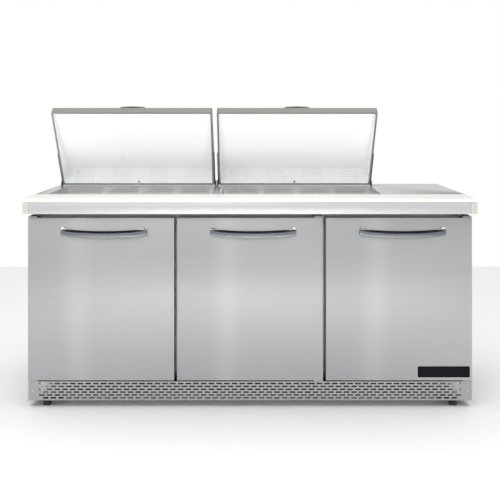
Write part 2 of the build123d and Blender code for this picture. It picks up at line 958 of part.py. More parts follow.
def door_skin_shell(number):
    left, right = doors[number]
    outer = slab((left, door_front, door_bottom), (right, door_back - door_liner, door_top))
    outer = fillet(outer.edges().filter_by(Axis.Z).group_by(Axis.Y)[0], door_edge)
    inner = slab(
        (left + door_skin, door_front + door_skin, door_bottom + door_skin),
        (right - door_skin, door_back, door_top - door_skin),
    )
    return (outer - inner) - pivot_holes(number, pin_radius + running_fit)


def door_foam(number):
    left, right = doors[number]
    core = slab(
        (left + door_skin, door_front + door_skin, door_bottom + door_skin),
        (right - door_skin, door_back - door_liner, door_top - door_skin),
    )
    return core - pivot_holes(number, pin_radius + running_fit)


def door_liner_panel(number):
    left, right = doors[number]
    panel = slab((left, door_back - door_liner, door_bottom), (right, door_back, door_top))
    return fillet(panel.edges().filter_by(Axis.Y), door_edge)


def door_gasket(number):
    left, right = doors[number]
    edge = gasket_inset + gasket_width
    outer = slab(
        (left + gasket_inset, door_back, door_bottom + gasket_inset),
        (right - gasket_inset, door_back + gasket_depth, door_top - gasket_inset),
    )
    inner = slab(
        (left + edge, door_back - 1, door_bottom + edge),
        (right - edge, door_back + gasket_depth + 1, door_top - edge),
    )
    return outer - inner


def handle_middle(number):
    left, right = doors[number]
    return (left + right) / 2 + handle_shift


def door_handle(number):
    """A bowed crescent pull: straight along the top, bellied below."""
    x = handle_middle(number)
    top = door_top - handle_below_top
    end = handle_length / 2
    low = top - handle_height
    outline = [
        Line((-end, low), (-end, top)),
        Line((-end, top), (end, top)),
        Line((end, top), (end, low)),
        ThreePointArc((end, low), (0, low - handle_belly), (-end, low)),
    ]
    shape = extrude(make_face(outline), 2 * handle_reach, both=True)
    shape = Pos(x, door_front, 0) * Rot(90, 0, 0) * shape
    bow_out = ThreePointArc((-end, 0), (0, -handle_reach), (end, 0))
    bow_in = ThreePointArc((end - handle_band, 0), (0, handle_band - handle_reach), (handle_band - end, 0))
    links = [Line((end, 0), (end - handle_band, 0)), Line((handle_band - end, 0), (-end, 0))]
    band = extrude(make_face([bow_out, bow_in] + links), 4 * handle_height, both=True)
    band = Pos(x, door_front, (top + low) / 2) * band
    return shape & band


def name_plate():
    right = doors[-1][1] - plate_side_margin
    low = door_bottom + plate_bottom_margin
    plate = slab(
        (right - plate_width, door_front - plate_thickness, low), (right, door_front, low + plate_height)
    )
    return fillet(plate.edges().filter_by(Axis.Y), plate_corner)


def fixed_parts():
    return {
        "worktop": worktop(),
        "apron_end_caps": apron_end_caps(),
        "well_liners": well_liners(),
        "pan_bars": pan_bars(),
        "lid_hinge_brackets": lid_hinge_brackets(),
        "side_panels": side_panels(),
        "back_panel": back_panel(),
        "wall_foam": wall_foam(),
        "interior_liner": interior_liner(),
        "ceiling_panel": ceiling_panel(),
        "front_frame": front_frame(),
        "base_frame": base_frame(),
        "front_grille": front_grille(),
        "grille_screws": grille_screws(),
        "levelling_feet": levelling_feet(),
        "shelf_strips": shelf_strips(),
        "evaporator_coil": evaporator_coil(),
        "evaporator_housing": evaporator_housing(),
        "fan_motors": fan_motors(),
        "machine_housing": machine_housing(),
        "rear_service_grille": rear_service_grille(),
        "compressor": compressor(),
        "condenser_coil": condenser_coil(),
        "drain_pan": drain_pan(),
        "refrigerant_lines": refrigerant_lines(),
        "control_box": control_box(),
        "power_inlet": power_inlet(),
        "door_hinge_brackets": door_hinge_brackets(),
    }


def moving_parts():
    nodes = {"cutting_board": cutting_board(), "name_plate": name_plate()}
    for side, well, lid in zip(sides, wells, lids):
        nodes["food_pans_" + side] = food_pans(well)
        nodes["lid_" + side + "_shell"] = lid_shell(lid)
        nodes["lid_" + side + "_liner"] = lid_liner(lid)
        nodes["lid_" + side + "_grip"] = lid_grip(lid)
        nodes["lid_" + side + "_hinge_arms"] = lid_hinge_arms(lid)
    for name, bay in zip(("left", "middle", "right"), bays):
        nodes["shelf_" + name] = Pos(bay, 0, 0) * wire_shelf()
    nodes["condenser_fan"] = fan(condenser_x, condenser_fan_y, machine_middle_z)
    nodes["evaporator_fan"] = fan(0, evaporator_fan_y, evaporator_middle_z)
    for number in range(door_count):
        name = "door_" + str(number + 1)
        nodes[name + "_skin"] = door_skin_shell(number)
        nodes[name + "_foam"] = door_foam(number)
        nodes[name + "_liner"] = door_liner_panel(number)
        nodes[name + "_gasket"] = door_gasket(number)
        nodes[name + "_handle"] = door_handle(number)
    return nodes


def main():
    os.makedirs("parts", exist_ok=True)
    for name, shape in {**fixed_parts(), **moving_parts()}.items():
        pieces = shape if isinstance(shape, list) else [shape]
        solids = [solid for piece in pieces for solid in piece.solids()]
        export_step(solids[0] if len(solids) == 1 else Compound(solids), "parts/" + name + ".step")
        print(name, len(solids), "solids", round(sum(solid.volume for solid in solids)), "mm3")


if __name__ == "__main__":
    main()
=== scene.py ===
"""A refrigerated sandwich prep table: its visible pieces and finishes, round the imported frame."""

from __future__ import annotations

import json
import logging
import math
from dataclasses import dataclass
from enum import Enum
from typing import Callable, Sequence

import bmesh
import bpy
from mathutils import Matrix, Vector

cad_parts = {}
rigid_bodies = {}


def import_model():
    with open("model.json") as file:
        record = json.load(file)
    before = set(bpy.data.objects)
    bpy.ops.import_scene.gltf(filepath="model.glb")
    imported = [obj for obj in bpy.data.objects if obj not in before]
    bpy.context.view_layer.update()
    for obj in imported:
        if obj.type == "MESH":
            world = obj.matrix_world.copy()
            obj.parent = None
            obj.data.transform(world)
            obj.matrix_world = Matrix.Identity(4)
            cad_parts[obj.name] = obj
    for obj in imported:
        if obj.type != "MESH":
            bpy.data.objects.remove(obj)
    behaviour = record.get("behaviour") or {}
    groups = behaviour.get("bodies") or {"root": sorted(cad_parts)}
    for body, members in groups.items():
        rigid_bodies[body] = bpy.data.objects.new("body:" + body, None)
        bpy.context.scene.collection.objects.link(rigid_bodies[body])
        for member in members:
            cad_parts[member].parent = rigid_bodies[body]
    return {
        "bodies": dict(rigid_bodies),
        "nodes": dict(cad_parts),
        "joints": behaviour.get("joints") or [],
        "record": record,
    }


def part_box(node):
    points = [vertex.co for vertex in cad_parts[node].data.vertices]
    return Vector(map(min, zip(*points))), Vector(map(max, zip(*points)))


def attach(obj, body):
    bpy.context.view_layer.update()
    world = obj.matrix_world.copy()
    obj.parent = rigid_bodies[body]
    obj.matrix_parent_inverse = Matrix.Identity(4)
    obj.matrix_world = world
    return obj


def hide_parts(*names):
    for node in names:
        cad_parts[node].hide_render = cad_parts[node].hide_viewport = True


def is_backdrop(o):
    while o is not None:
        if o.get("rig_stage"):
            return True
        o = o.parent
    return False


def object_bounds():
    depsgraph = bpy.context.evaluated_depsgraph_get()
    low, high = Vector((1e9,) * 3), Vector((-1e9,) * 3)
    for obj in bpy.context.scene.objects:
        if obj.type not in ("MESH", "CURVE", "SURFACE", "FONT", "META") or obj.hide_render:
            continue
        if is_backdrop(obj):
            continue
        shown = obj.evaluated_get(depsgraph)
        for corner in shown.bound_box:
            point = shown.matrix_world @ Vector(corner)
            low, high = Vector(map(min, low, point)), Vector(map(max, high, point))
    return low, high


log = logging.getLogger("prep_table")
MM = 0.001
# Places of the colour sockets on a Mix node, which has one set for each kind of value.
MIX_FACTOR, MIX_FIRST, MIX_SECOND, MIX_COLOUR = 0, 6, 7, 2
# How square to an axis a face's normal is when the face counts as facing that way.
SQUARE_ON = 0.9
# Margin for telling points apart by their place.
HAIR = 1 * MM
# Corners sharper than this are shaded as corners.
SHARP = math.radians(32.0)


class Grain(Enum):
    """The way a brushed sheet's grain runs."""

    ALONG = (1.0, 320.0, 320.0)
    DEEP = (320.0, 1.0, 320.0)
    UPRIGHT = (320.0, 320.0, 1.0)


# ---------------------------------------------------------------- shader maths


class Socket:
    """A shader output that grows maths nodes when it is used in an expression."""

    def __init__(self, tree: bpy.types.NodeTree, link: bpy.types.NodeSocket) -> None:
        """Wraps one output.

        Args:
            tree: The material's node tree.
            link: The output socket.
        """
        self.tree = tree
        self.link = link

    def _maths(self, operation: str, first: object, second: object = None) -> Socket:
        """Adds one Math node.

        Args:
            operation: The Math node's operation.
            first: Its first value or socket.
            second: Its second value or socket, if it has one.

        Returns:
            The node's result.
        """
        node = self.tree.nodes.new("ShaderNodeMath")
        node.operation = operation
        for place, value in enumerate((first, second)):
            if isinstance(value, Socket):
                self.tree.links.new(value.link, node.inputs[place])
            elif value is not None:
                node.inputs[place].default_value = value
        return Socket(self.tree, node.outputs[0])

    def __add__(self, other: object) -> Socket:
        """The sum."""
        return self._maths("ADD", self, other)

    __radd__ = __add__

    def __mul__(self, other: object) -> Socket:
        """The product."""
        return self._maths("MULTIPLY", self, other)

    __rmul__ = __mul__

    def __sub__(self, other: object) -> Socket:
        """This less the other."""
        return self._maths("SUBTRACT", self, other)

    def __rsub__(self, other: object) -> Socket:
        """The other less this."""
        return self._maths("SUBTRACT", other, self)

    def larger(self, other: object) -> Socket:
        """The larger of the two."""
        return self._maths("MAXIMUM", self, other)

    def size(self) -> Socket:
        """The value without its sign."""
        return self._maths("ABSOLUTE", self)


class Paint:
    """One material being mixed, with a Principled shader at its end."""

    def __init__(self, name: str) -> None:
        """Starts an empty material.

        Args:
            name: The material's name.
        """
        self.material = bpy.data.materials.new(name)
        self.material.use_nodes = True
        self.tree = self.material.node_tree
        self.shader = self.tree.nodes["Principled BSDF"]
        self.place = self.node("ShaderNodeTexCoord", output="Object")

    def node(
        self,
        kind: str,
        settings: dict | None = None,
        inputs: dict | None = None,
        output: object = 0,
    ) -> Socket:
        """Adds a node.

        Args:
            kind: The node's type.
            settings: Its own settings, set first.
            inputs: Values or sockets for its inputs, by name or number.
            output: The wanted output's name or number.

        Returns:
            The wanted output.
        """
        made = self.tree.nodes.new(kind)
        for key, value in (settings or {}).items():
            setattr(made, key, value)
        for key, value in (inputs or {}).items():
            if isinstance(value, Socket):
                self.tree.links.new(value.link, made.inputs[key])
            else:
                made.inputs[key].default_value = value
        return Socket(self.tree, made.outputs[output])

    def stretched(self, scale: Sequence[float]) -> Socket:
        """Object coordinates times a scale for each axis."""
        return self.node("ShaderNodeMapping", inputs={"Vector": self.place, "Scale": scale})

    def noise(self, where: Socket, scale: float, detail: float = 3.0, rough: float = 0.5) -> Socket:
        """A noise from about 0 to 1.

        Args:
            where: The coordinates.
            scale: Waves in each metre.
            detail: Octaves.
            rough: How strong the fine octaves are.

        Returns:
            The noise's factor.
        """
        inputs = {"Vector": where, "Scale": scale, "Detail": detail, "Roughness": rough}
        return self.node("ShaderNodeTexNoise", inputs=inputs, output="Fac")

    def ramp(self, factor: Socket, low: float, high: float) -> Socket:
        """The factor spread so that low is 0 and high is 1."""
        inputs = {"Value": factor, "From Min": low, "From Max": high}
        settings = {"clamp": True, "interpolation_type": "SMOOTHSTEP"}
        return self.node("ShaderNodeMapRange", settings, inputs)

    def along(self, axis: str) -> Socket:
        """The object coordinate along X, Y or Z, in metres."""
        return self.node("ShaderNodeSeparateXYZ", inputs={0: self.place}, output=axis)

    def mixed(self, factor: object, first: object, second: object) -> Socket:
        """A colour between two colours.

        Args:
            factor: 0 for the first colour, 1 for the second.
            first: A colour or socket.
            second: A colour or socket.

        Returns:
            The mixed colour.
        """
        inputs = {MIX_FACTOR: factor, MIX_FIRST: self._rgba(first), MIX_SECOND: self._rgba(second)}
        return self.node("ShaderNodeMix", {"data_type": "RGBA"}, inputs, MIX_COLOUR)

    @staticmethod
    def _rgba(colour: object) -> object:
        """A colour with its alpha, or the socket as it is."""
        return colour if isinstance(colour, Socket) else (*colour[:3], 1.0)

    def bump(self, height: Socket, depth: float) -> Socket:
        """A normal bumped by a height, to a depth in metres."""
        inputs = {"Height": height, "Distance": depth, "Strength": 1.0}
        return self.node("ShaderNodeBump", inputs=inputs)

    def set(self, **values: object) -> bpy.types.Material:
        """Sets the shader's sockets, with _ for a space in their names.

        Args:
            values: Numbers, colours or sockets.

        Returns:
            The material.
        """
        for key, value in values.items():
            socket = self.shader.inputs[key.replace("_", " ")]
            if isinstance(value, Socket):
                self.tree.links.new(value.link, socket)
            elif key == "Base_Color":
                socket.default_value = self._rgba(value)
            else:
                socket.default_value = value
        return self.material


def tone(colour: Sequence[float], share: float) -> tuple[float, ...]:
    """A colour made lighter or darker by a share."""
    return tuple(min(1.0, value * share) for value in colour[:3])


# ------------------------------------------------------------------- finishes


@dataclass(frozen=True)
class BrushedSteel:
    """Stainless sheet with a directional grain, faint clouds and hairlines."""

    name: str
    colour: tuple[float, float, float]
    grain: Grain = Grain.ALONG
    roughness: float = 0.3
    contrast: float = 0.05
    metallic: float = 1.0

    def make(self) -> bpy.types.Material:
        """Mixes the finish and returns it."""
        paint = Paint(self.name)
        along = paint.stretched(self.grain.value)
        fine = paint.noise(along, 2.2, 4.0, 0.65)
        broad = paint.noise(along, 0.35, 2.0, 0.5)
        cloud = paint.noise(paint.place, 2.6, 2.0, 0.4)
        hair = paint.noise(along, 5.5, 2.0, 0.7)
        streak = fine * 0.45 + broad * 0.4 + cloud * 0.15
        mix = paint.ramp(streak, 0.3, 0.7)
        dim, lit = tone(self.colour, 1 - self.contrast), tone(self.colour, 1 + self.contrast)
        colour = paint.mixed(mix, dim, lit)
        scratch = paint.ramp(hair, 0.72, 0.8)
        colour = paint.mixed(scratch * 0.3, colour, tone(self.colour, 1.18))
        rough = self.roughness + (fine - 0.5) * 0.16 + (cloud - 0.5) * 0.08
        normal = paint.bump(fine + hair * 0.4, 0.00012)
        return paint.set(Base_Color=colour, Metallic=self.metallic, Roughness=rough, Normal=normal)


@dataclass(frozen=True)
class DoorSteel:
    """Brushed door skin: cross grain, a soft painted highlight band and painted shade, darker and
    cooler, at the left edge.
    """

    name: str
    low_x: float
    high_x: float
    # The darker, cooler colour is painted shade along the left edge; the lightest colour belongs to
    # the painted highlight band about a third of the way across.
    cool: tuple[float, float, float] = (0.43, 0.437, 0.447)
    warm: tuple[float, float, float] = (0.465, 0.467, 0.468)
    light: tuple[float, float, float] = (0.53, 0.53, 0.525)
    stripe: float = 0.34
    fade: float = 0.13

    def make(self) -> bpy.types.Material:
        """Mixes the finish and returns it."""
        paint = Paint(self.name)
        along = paint.stretched(Grain.ALONG.value)
        fine = paint.noise(along, 2.0, 4.0, 0.6)
        broad = paint.noise(along, 0.3, 2.0, 0.5)
        cloud = paint.noise(paint.place, 2.0, 2.0, 0.4)
        width = self.high_x - self.low_x
        share = (paint.along("X") - self.low_x) * (1 / width) + (cloud - 0.5) * 0.06
        # Painted shade fades in from the left edge, and a painted highlight band stands about a
        # third of the way across.
        edge_shade_fade = paint.ramp(share, 0.02, 0.42)
        stripe = 1 - paint.ramp((share - self.stripe).size(), 0.0, self.fade)
        colour = paint.mixed(edge_shade_fade, self.cool, self.warm)
        colour = paint.mixed(stripe * 0.75, colour, self.light)
        streak = paint.ramp(fine * 0.6 + broad * 0.4, 0.3, 0.7)
        colour = paint.mixed(streak * 0.22, colour, tone(self.light, 1.08))
        rough = 0.34 + (fine - 0.5) * 0.14 + (cloud - 0.5) * 0.06
        normal = paint.bump(fine, 0.0001)
        return paint.set(Base_Color=colour, Metallic=1.0, Roughness=rough, Normal=normal)


@dataclass(frozen=True)
class Polyethylene:
    """A white cutting board: matt, finely pebbled, with faint knife marks."""

    name: str
    colour: tuple[float, float, float] = (0.82, 0.817, 0.79)

    def make(self) -> bpy.types.Material:
        """Mixes the finish and returns it."""
        paint = Paint(self.name)
        cloud = paint.noise(paint.place, 7.0, 3.0)
        pebble = paint.noise(paint.place, 900.0, 2.0)
        knife_low = paint.noise(paint.stretched((40.0, 900.0, 1.0)), 1.0, 1.0)
        knife_high = paint.noise(paint.stretched((700.0, 60.0, 1.0)), 1.0, 1.0)
        mark = paint.ramp(knife_low.larger(knife_high), 0.78, 0.84)
        colour = paint.mixed(cloud, tone(self.colour, 0.985), tone(self.colour, 1.01))
        colour = paint.mixed(mark * 0.3, colour, tone(self.colour, 0.86))
        normal = paint.bump(pebble * 0.4 - mark * 0.6, 0.00015)
        rough = 0.5 + (cloud - 0.5) * 0.12
        return paint.set(Base_Color=colour, Roughness=rough, Normal=normal, Specular_IOR_Level=0.4)


@dataclass(frozen=True)
class Chrome:
    """Polished plating, with the faintest wipe marks."""

    name: str
    colour: tuple[float, float, float] = (0.8, 0.82, 0.85)
    roughness: float = 0.07

    def make(self) -> bpy.types.Material:
        """Mixes the finish and returns it."""
        paint = Paint(self.name)
        wipe = paint.noise(paint.stretched((30.0, 90.0, 160.0)), 1.0, 3.0)
        rough = self.roughness + (wipe - 0.5) * 0.06
        colour = paint.mixed(wipe, tone(self.colour, 0.96), tone(self.colour, 1.03))
        return paint.set(Base_Color=colour, Metallic=1.0, Roughness=rough)


@dataclass(frozen=True)
class PullChrome:
    """Plating of a door pull with painted reflections: white and dark streaks on top, a blue-grey
    face, and a grey belly of painted shade.
    """

    name: str
    edge_z: float
    belly_z: float
    # The top's white and dark are painted reflections, the face's blue-grey is a painted
    # reflection, and the belly's grey is painted shade.
    bright: tuple[float, float, float] = (0.92, 0.92, 0.9)
    dark: tuple[float, float, float] = (0.02, 0.022, 0.035)
    face: tuple[float, float, float] = (0.2, 0.225, 0.265)
    belly: tuple[float, float, float] = (0.27, 0.275, 0.285)
    blend: float = 2.2 * MM

    def make(self) -> bpy.types.Material:
        """Mixes the finish and returns it."""
        paint = Paint(self.name)
        z = paint.along("Z")
        drift = paint.noise(paint.stretched((11.0, 30.0, 30.0)), 1.0, 2.0)
        streak = paint.noise(paint.stretched((19.0, 260.0, 240.0)), 1.0, 1.5)
        # Painted reflections on top: the white streaks lose most of their metal so that they read
        # as highlights.
        shade = paint.ramp(streak, 0.5, 0.54)
        top = paint.mixed(shade, self.bright, self.dark)
        # The face's blue-grey is a painted reflection; the belly's grey is painted shade.
        face = paint.mixed(drift, tone(self.face, 0.75), tone(self.face, 1.35))
        belly = paint.mixed(drift, tone(self.belly, 0.85), tone(self.belly, 1.15))
        above = paint.ramp(z, self.edge_z - self.blend, self.edge_z + self.blend)
        below = 1 - paint.ramp(z, self.belly_z - self.blend, self.belly_z + self.blend)
        colour = paint.mixed(above, paint.mixed(below, face, belly), top)
        rough = 0.1 + below * 0.16 + (drift - 0.5) * 0.05
        metallic = 1 - above * (1 - shade) * 0.85
        return paint.set(Base_Color=colour, Metallic=metallic, Roughness=rough)


@dataclass(frozen=True)
class PlainFinish:
    """Paint, rubber, plastic or foam: a tint with clouds, a grain and a sheen."""

    name: str
    colour: tuple[float, float, float]
    roughness: float
    grain_scale: float = 600.0
    grain_depth: float = 0.0001
    clouds: float = 0.06
    metallic: float = 0.0
    coat: float = 0.0
    gloss: float = 0.5

    def make(self) -> bpy.types.Material:
        """Mixes the finish and returns it."""
        paint = Paint(self.name)
        cloud = paint.noise(paint.place, 9.0, 3.0)
        grain = paint.noise(paint.place, self.grain_scale, 2.0)
        dust = paint.ramp(paint.noise(paint.place, 45.0, 4.0, 0.7), 0.62, 0.85)
        dim, lit = tone(self.colour, 1 - self.clouds), tone(self.colour, 1 + self.clouds)
        colour = paint.mixed(cloud, dim, lit)
        speck = tone([value + 0.05 for value in self.colour], 1.15)
        colour = paint.mixed(dust * 0.12, colour, speck)
        rough = self.roughness + (cloud - 0.5) * 0.12 + dust * 0.05
        normal = paint.bump(grain, self.grain_depth)
        return paint.set(
            Base_Color=colour,
            Roughness=rough,
            Normal=normal,
            Metallic=self.metallic,
            Coat_Weight=self.coat,
            Specular_IOR_Level=self.gloss,
        )


@dataclass(frozen=True)
class StuccoAluminium:
    """Embossed inner lining of a refrigerated cabinet."""

    name: str
    colour: tuple[float, float, float] = (0.74, 0.75, 0.76)

    def make(self) -> bpy.types.Material:
        """Mixes the finish and returns it."""
        paint = Paint(self.name)
        inputs = {"Vector": paint.place, "Scale": 130.0}
        cells = paint.node("ShaderNodeTexVoronoi", {"feature": "SMOOTH_F1"}, inputs)
        cloud = paint.noise(paint.place, 4.0, 3.0)
        colour = paint.mixed(cells, tone(self.colour, 1.04), tone(self.colour, 0.9))
        rough = 0.36 + (cloud - 0.5) * 0.15
        normal = paint.bump(cells, 0.0006)
        return paint.set(Base_Color=colour, Metallic=0.9, Roughness=rough, Normal=normal)


# ---------------------------------------------------------------- workbench


def anything(part: object) -> bool:
    """Passes every face, edge or point."""
    return True


def facing(axis: int, way: int) -> Callable:
    """A test for faces that look along an axis.

    Args:
        axis: 0, 1 or 2 for X, Y or Z.
        way: 1 for forwards along it, -1 for backwards.

    Returns:
        The test.
    """
    return lambda face: face.normal[axis] * way > SQUARE_ON


def running(axis: int, least: float) -> Callable:
    """A test for edges that run further than a least length along an axis.

    Args:
        axis: 0, 1 or 2 for X, Y or Z.
        least: The length, in metres.

    Returns:
        The test.
    """
    return lambda edge: abs((edge.verts[0].co - edge.verts[1].co)[axis]) > least


class Bench:
    """Modelling steps done with Blender's own operators."""

    @staticmethod
    def only(*pieces: bpy.types.Object) -> None:
        """Selects these pieces and nothing else, with the first one active."""
        if bpy.context.mode != "OBJECT":
            bpy.ops.object.mode_set(mode="OBJECT")
        bpy.ops.object.select_all(action="DESELECT")
        for piece in pieces:
            piece.select_set(True)
        bpy.context.view_layer.objects.active = pieces[0]

    @staticmethod
    def settle(piece: bpy.types.Object) -> bpy.types.Object:
        """Puts a piece's place, turn and scale into its mesh, and returns it."""
        Bench.only(piece)
        bpy.ops.object.transform_apply(location=True, rotation=True, scale=True)
        return piece

    @staticmethod
    def block(name: str, low: Sequence[float], high: Sequence[float]) -> bpy.types.Object:
        """A box between two corners."""
        low, high = Vector(low), Vector(high)
        bpy.ops.mesh.primitive_cube_add(size=1, location=(low + high) / 2)
        piece = bpy.context.object
        piece.name = name
        piece.scale = high - low
        return Bench.settle(piece)

    @staticmethod
    def turned(
        name: str,
        start: Sequence[float],
        axis: str,
        length: float,
        radius: float,
        sides: int = 48,
        tip: float | None = None,
    ) -> bpy.types.Object:
        """A round bar or cone.

        Args:
            name: The piece's name.
            start: The middle of its first end.
            axis: X, Y or Z, the way that it runs.
            length: Its length.
            radius: Its radius at the start.
            sides: Its number of sides.
            tip: Its radius at the far end, if that differs.

        Returns:
            The bar.
        """
        turns = {"X": (0, math.pi / 2, 0), "Y": (-math.pi / 2, 0, 0), "Z": (0, 0, 0)}
        ways = {"X": Vector((1, 0, 0)), "Y": Vector((0, 1, 0)), "Z": Vector((0, 0, 1))}
        bpy.ops.mesh.primitive_cone_add(
            vertices=sides,
            radius1=radius,
            radius2=radius if tip is None else tip,
            depth=length,
            location=Vector(start) + ways[axis] * length / 2,
            rotation=turns[axis],
        )
        piece = bpy.context.object
        piece.name = name
        return Bench.settle(piece)

    @staticmethod
    def ring(
        name: str, middle: Sequence[float], axis: str, radius: float, thick: float, sides: int = 48
    ) -> bpy.types.Object:
        """A torus about the Y or Z axis through its middle."""
        turns = {"Y": (math.pi / 2, 0, 0), "Z": (0, 0, 0)}
        bpy.ops.mesh.primitive_torus_add(
            location=middle,
            rotation=turns[axis],
            major_radius=radius,
            minor_radius=thick,
            major_segments=sides,
            minor_segments=12,
        )
        piece = bpy.context.object
        piece.name = name
        return Bench.settle(piece)

    @staticmethod
    def pick(piece: bpy.types.Object, test: Callable, mode: str = "FACE") -> None:
        """Opens edit mode with the faces, edges or points that pass a test selected.

        Args:
            piece: The piece to edit.
            test: Called with each face, edge or point.
            mode: FACE, EDGE or VERT.
        """
        Bench.only(piece)
        bpy.ops.object.mode_set(mode="EDIT")
        bpy.ops.mesh.select_mode(type=mode)
        bpy.ops.mesh.select_all(action="DESELECT")
        mesh = bmesh.from_edit_mesh(piece.data)
        parts = {"FACE": mesh.faces, "EDGE": mesh.edges, "VERT": mesh.verts}[mode]
        for part in parts:
            if test(part):
                part.select_set(True)
        mesh.select_flush_mode()
        bmesh.update_edit_mesh(piece.data)

    @staticmethod
    def done() -> None:
        """Leaves edit mode."""
        bpy.ops.object.mode_set(mode="OBJECT")

    @staticmethod
    def apply(piece: bpy.types.Object, kind: str, **settings: object) -> None:
        """Adds a modifier, sets it and applies it.

        Args:
            piece: The piece.
            kind: The modifier's type.
            settings: Its settings.
        """
        Bench.only(piece)
        made = piece.modifiers.new(kind.title(), kind)
        for key, value in settings.items():
            setattr(made, key, value)
        bpy.ops.object.modifier_apply(modifier=made.name)

    @staticmethod
    def soften(
        piece: bpy.types.Object, width: float, segments: int = 3, angle: float = 35.0
    ) -> bpy.types.Object:
        """Rounds a piece's sharp edges and shades it smooth, and returns it."""
        Bench.apply(
            piece,
            "BEVEL",
            width=width,
            segments=segments,
            limit_method="ANGLE",
            angle_limit=math.radians(angle),
            use_clamp_overlap=True,
            miter_outer="MITER_ARC",
        )
        return Bench.smooth(piece)

    @staticmethod
    def smooth(piece: bpy.types.Object) -> bpy.types.Object:
        """Shades a piece smooth except at its sharp corners, and returns it."""
        Bench.only(piece)
        bpy.ops.object.shade_smooth_by_angle(angle=SHARP)
        return piece

    @staticmethod
    def joined(name: str, pieces: Sequence[bpy.types.Object]) -> bpy.types.Object:
        """Several pieces as one."""
        Bench.only(*pieces)
        if len(pieces) > 1:
            bpy.ops.object.join()
        pieces[0].name = name
        return pieces[0]

    @staticmethod
    def cut(piece: bpy.types.Object, cutter: bpy.types.Object) -> bpy.types.Object:
        """A piece less a cutter, which is used up."""
        Bench.apply(piece, "BOOLEAN", operation="DIFFERENCE", solver="EXACT", object=cutter)
        bpy.data.objects.remove(cutter)
        return piece

    @staticmethod
    def turn(
        piece: bpy.types.Object, angle: float, axis: str, centre: Sequence[float]
    ) -> bpy.types.Object:
        """Turns a piece's mesh by the right-hand rule about an axis through a point."""
        Bench.only(piece)
        middle = Vector(centre)
        there = Matrix.Translation(middle) @ Matrix.Rotation(angle, 4, axis)
        piece.matrix_world = there @ Matrix.Translation(-middle) @ piece.matrix_world
        return Bench.settle(piece)

    @staticmethod
    def pull(
        piece: bpy.types.Object, test: Callable, move: Sequence[float], reach: float, fall: str
    ) -> None:
        """Drags points, with their neighbours following in a smooth curve.

        Args:
            piece: The piece.
            test: Called with each point, true for those held.
            move: How far they go.
            reach: How far away a point still follows.
            fall: The curve's form.
        """
        Bench.pick(piece, test, "VERT")
        bpy.ops.transform.translate(
            value=move,
            use_proportional_edit=True,
            proportional_edit_falloff=fall,
            proportional_size=reach,
        )
        Bench.done()

    @staticmethod
    def divide(piece: bpy.types.Object, least: float, cells: int) -> None:
        """Cuts the edges along X that are longer than a least length into cells."""
        Bench.pick(piece, running(0, least), "EDGE")
        bpy.ops.mesh.subdivide(number_cuts=cells - 1)
        Bench.done()

    @staticmethod
    def copied(piece: bpy.types.Object, name: str) -> bpy.types.Object:
        """A copy with its own mesh."""
        Bench.only(piece)
        bpy.ops.object.duplicate()
        copy = bpy.context.object
        copy.name = name
        return Bench.settle(copy)

    @staticmethod
    def from_frame(frame: dict, node: str, name: str) -> bpy.types.Object:
        """A copy of a frame node with its points merged and its flat triangles paired into quads.

        Args:
            frame: The loaded frame.
            node: The node's name.
            name: The copy's name.

        Returns:
            The copy.
        """
        source = frame["nodes"][node]
        copy = source.copy()
        copy.data = source.data.copy()
        copy.parent = None
        copy.name = name
        for key in list(copy.keys()):
            if key.startswith("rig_"):
                del copy[key]
        bpy.context.scene.collection.objects.link(copy)
        copy.hide_render = False
        copy.hide_viewport = False
        Bench.pick(copy, anything, "VERT")
        bpy.ops.mesh.customdata_custom_splitnormals_clear()
        bpy.ops.mesh.remove_doubles(threshold=0.001 * MM)
        bpy.ops.mesh.tris_convert_to_quads(
            face_threshold=math.radians(0.6), shape_threshold=math.radians(60)
        )
        Bench.done()
        return copy


class Maker:
    """Registers finished pieces with the frame."""

    def __init__(self, frame: dict) -> None:
        """Keeps the loaded frame and works out each slot.

        Args:
            frame: The loaded frame.
        """
        self.frame = frame
        self.bodies = {}
        self.slots = {}
        for body, nodes in frame["record"]["behaviour"]["bodies"].items():
            for node in nodes:
                self.bodies[node] = body
        for row in frame["record"]["subparts"]:
            self.slots[row["node"]] = row["material_slot"]
        self.pivots = {}
        for joint in frame["joints"]:
            if "pos_m" in joint:
                self.pivots[joint["child"]] = Vector(joint["pos_m"])

    def hand_in(self, piece: bpy.types.Object, finish: bpy.types.Material, node: str) -> None:
        """Dresses a piece and lets it ride with a node's body.

        Args:
            piece: The finished piece, which stands in for the node.
            finish: Its material.
            node: The frame node that it belongs to.
        """
        piece.data.materials.clear()
        piece.data.materials.append(finish)
        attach(piece, self.bodies[node])
        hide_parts(node)
        log.info("made %s on %s", piece.name, self.bodies[node])

    def dress(self, node: str, finish: bpy.types.Material) -> None:
        """Gives a frame node its finish."""
        piece = self.frame["nodes"][node]
        piece.data.materials.clear()
        piece.data.materials.append(finish)

    def rounded(
        self, node: str, finish: bpy.types.Material, width: float, segments: int = 2
    ) -> None:
        """Replaces a frame node by itself with its edges eased.

        Args:
            node: The frame node.
            finish: Its material.
            width: The edge's rounding, in metres.
            segments: Facets across the rounding.
        """
        copy = Bench.from_frame(self.frame, node, node + "_eased")
        Bench.soften(copy, width, segments)
        self.hand_in(copy, finish, node)


# --------------------------------------------------------------- the pieces


@dataclass
class Counter:
    """The worktop, its apron and the cutting board."""

    maker: Maker
    steel: bpy.types.Material
    board_finish: bpy.types.Material
    cap_finish: bpy.types.Material
    edge: float = 2.2 * MM
    fold: float = 0.5 * MM

    def build(self) -> None:
        """Makes the board and the sheet pieces around it."""
        low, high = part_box("cutting_board")
        board = Bench.block("cutting_board_slab", low, high)
        Bench.soften(board, self.edge, 4)
        self.maker.hand_in(board, self.board_finish, "cutting_board")
        self.maker.rounded("worktop", self.steel, self.fold)
        self.maker.rounded("apron_end_caps", self.cap_finish, self.fold * 0.6)


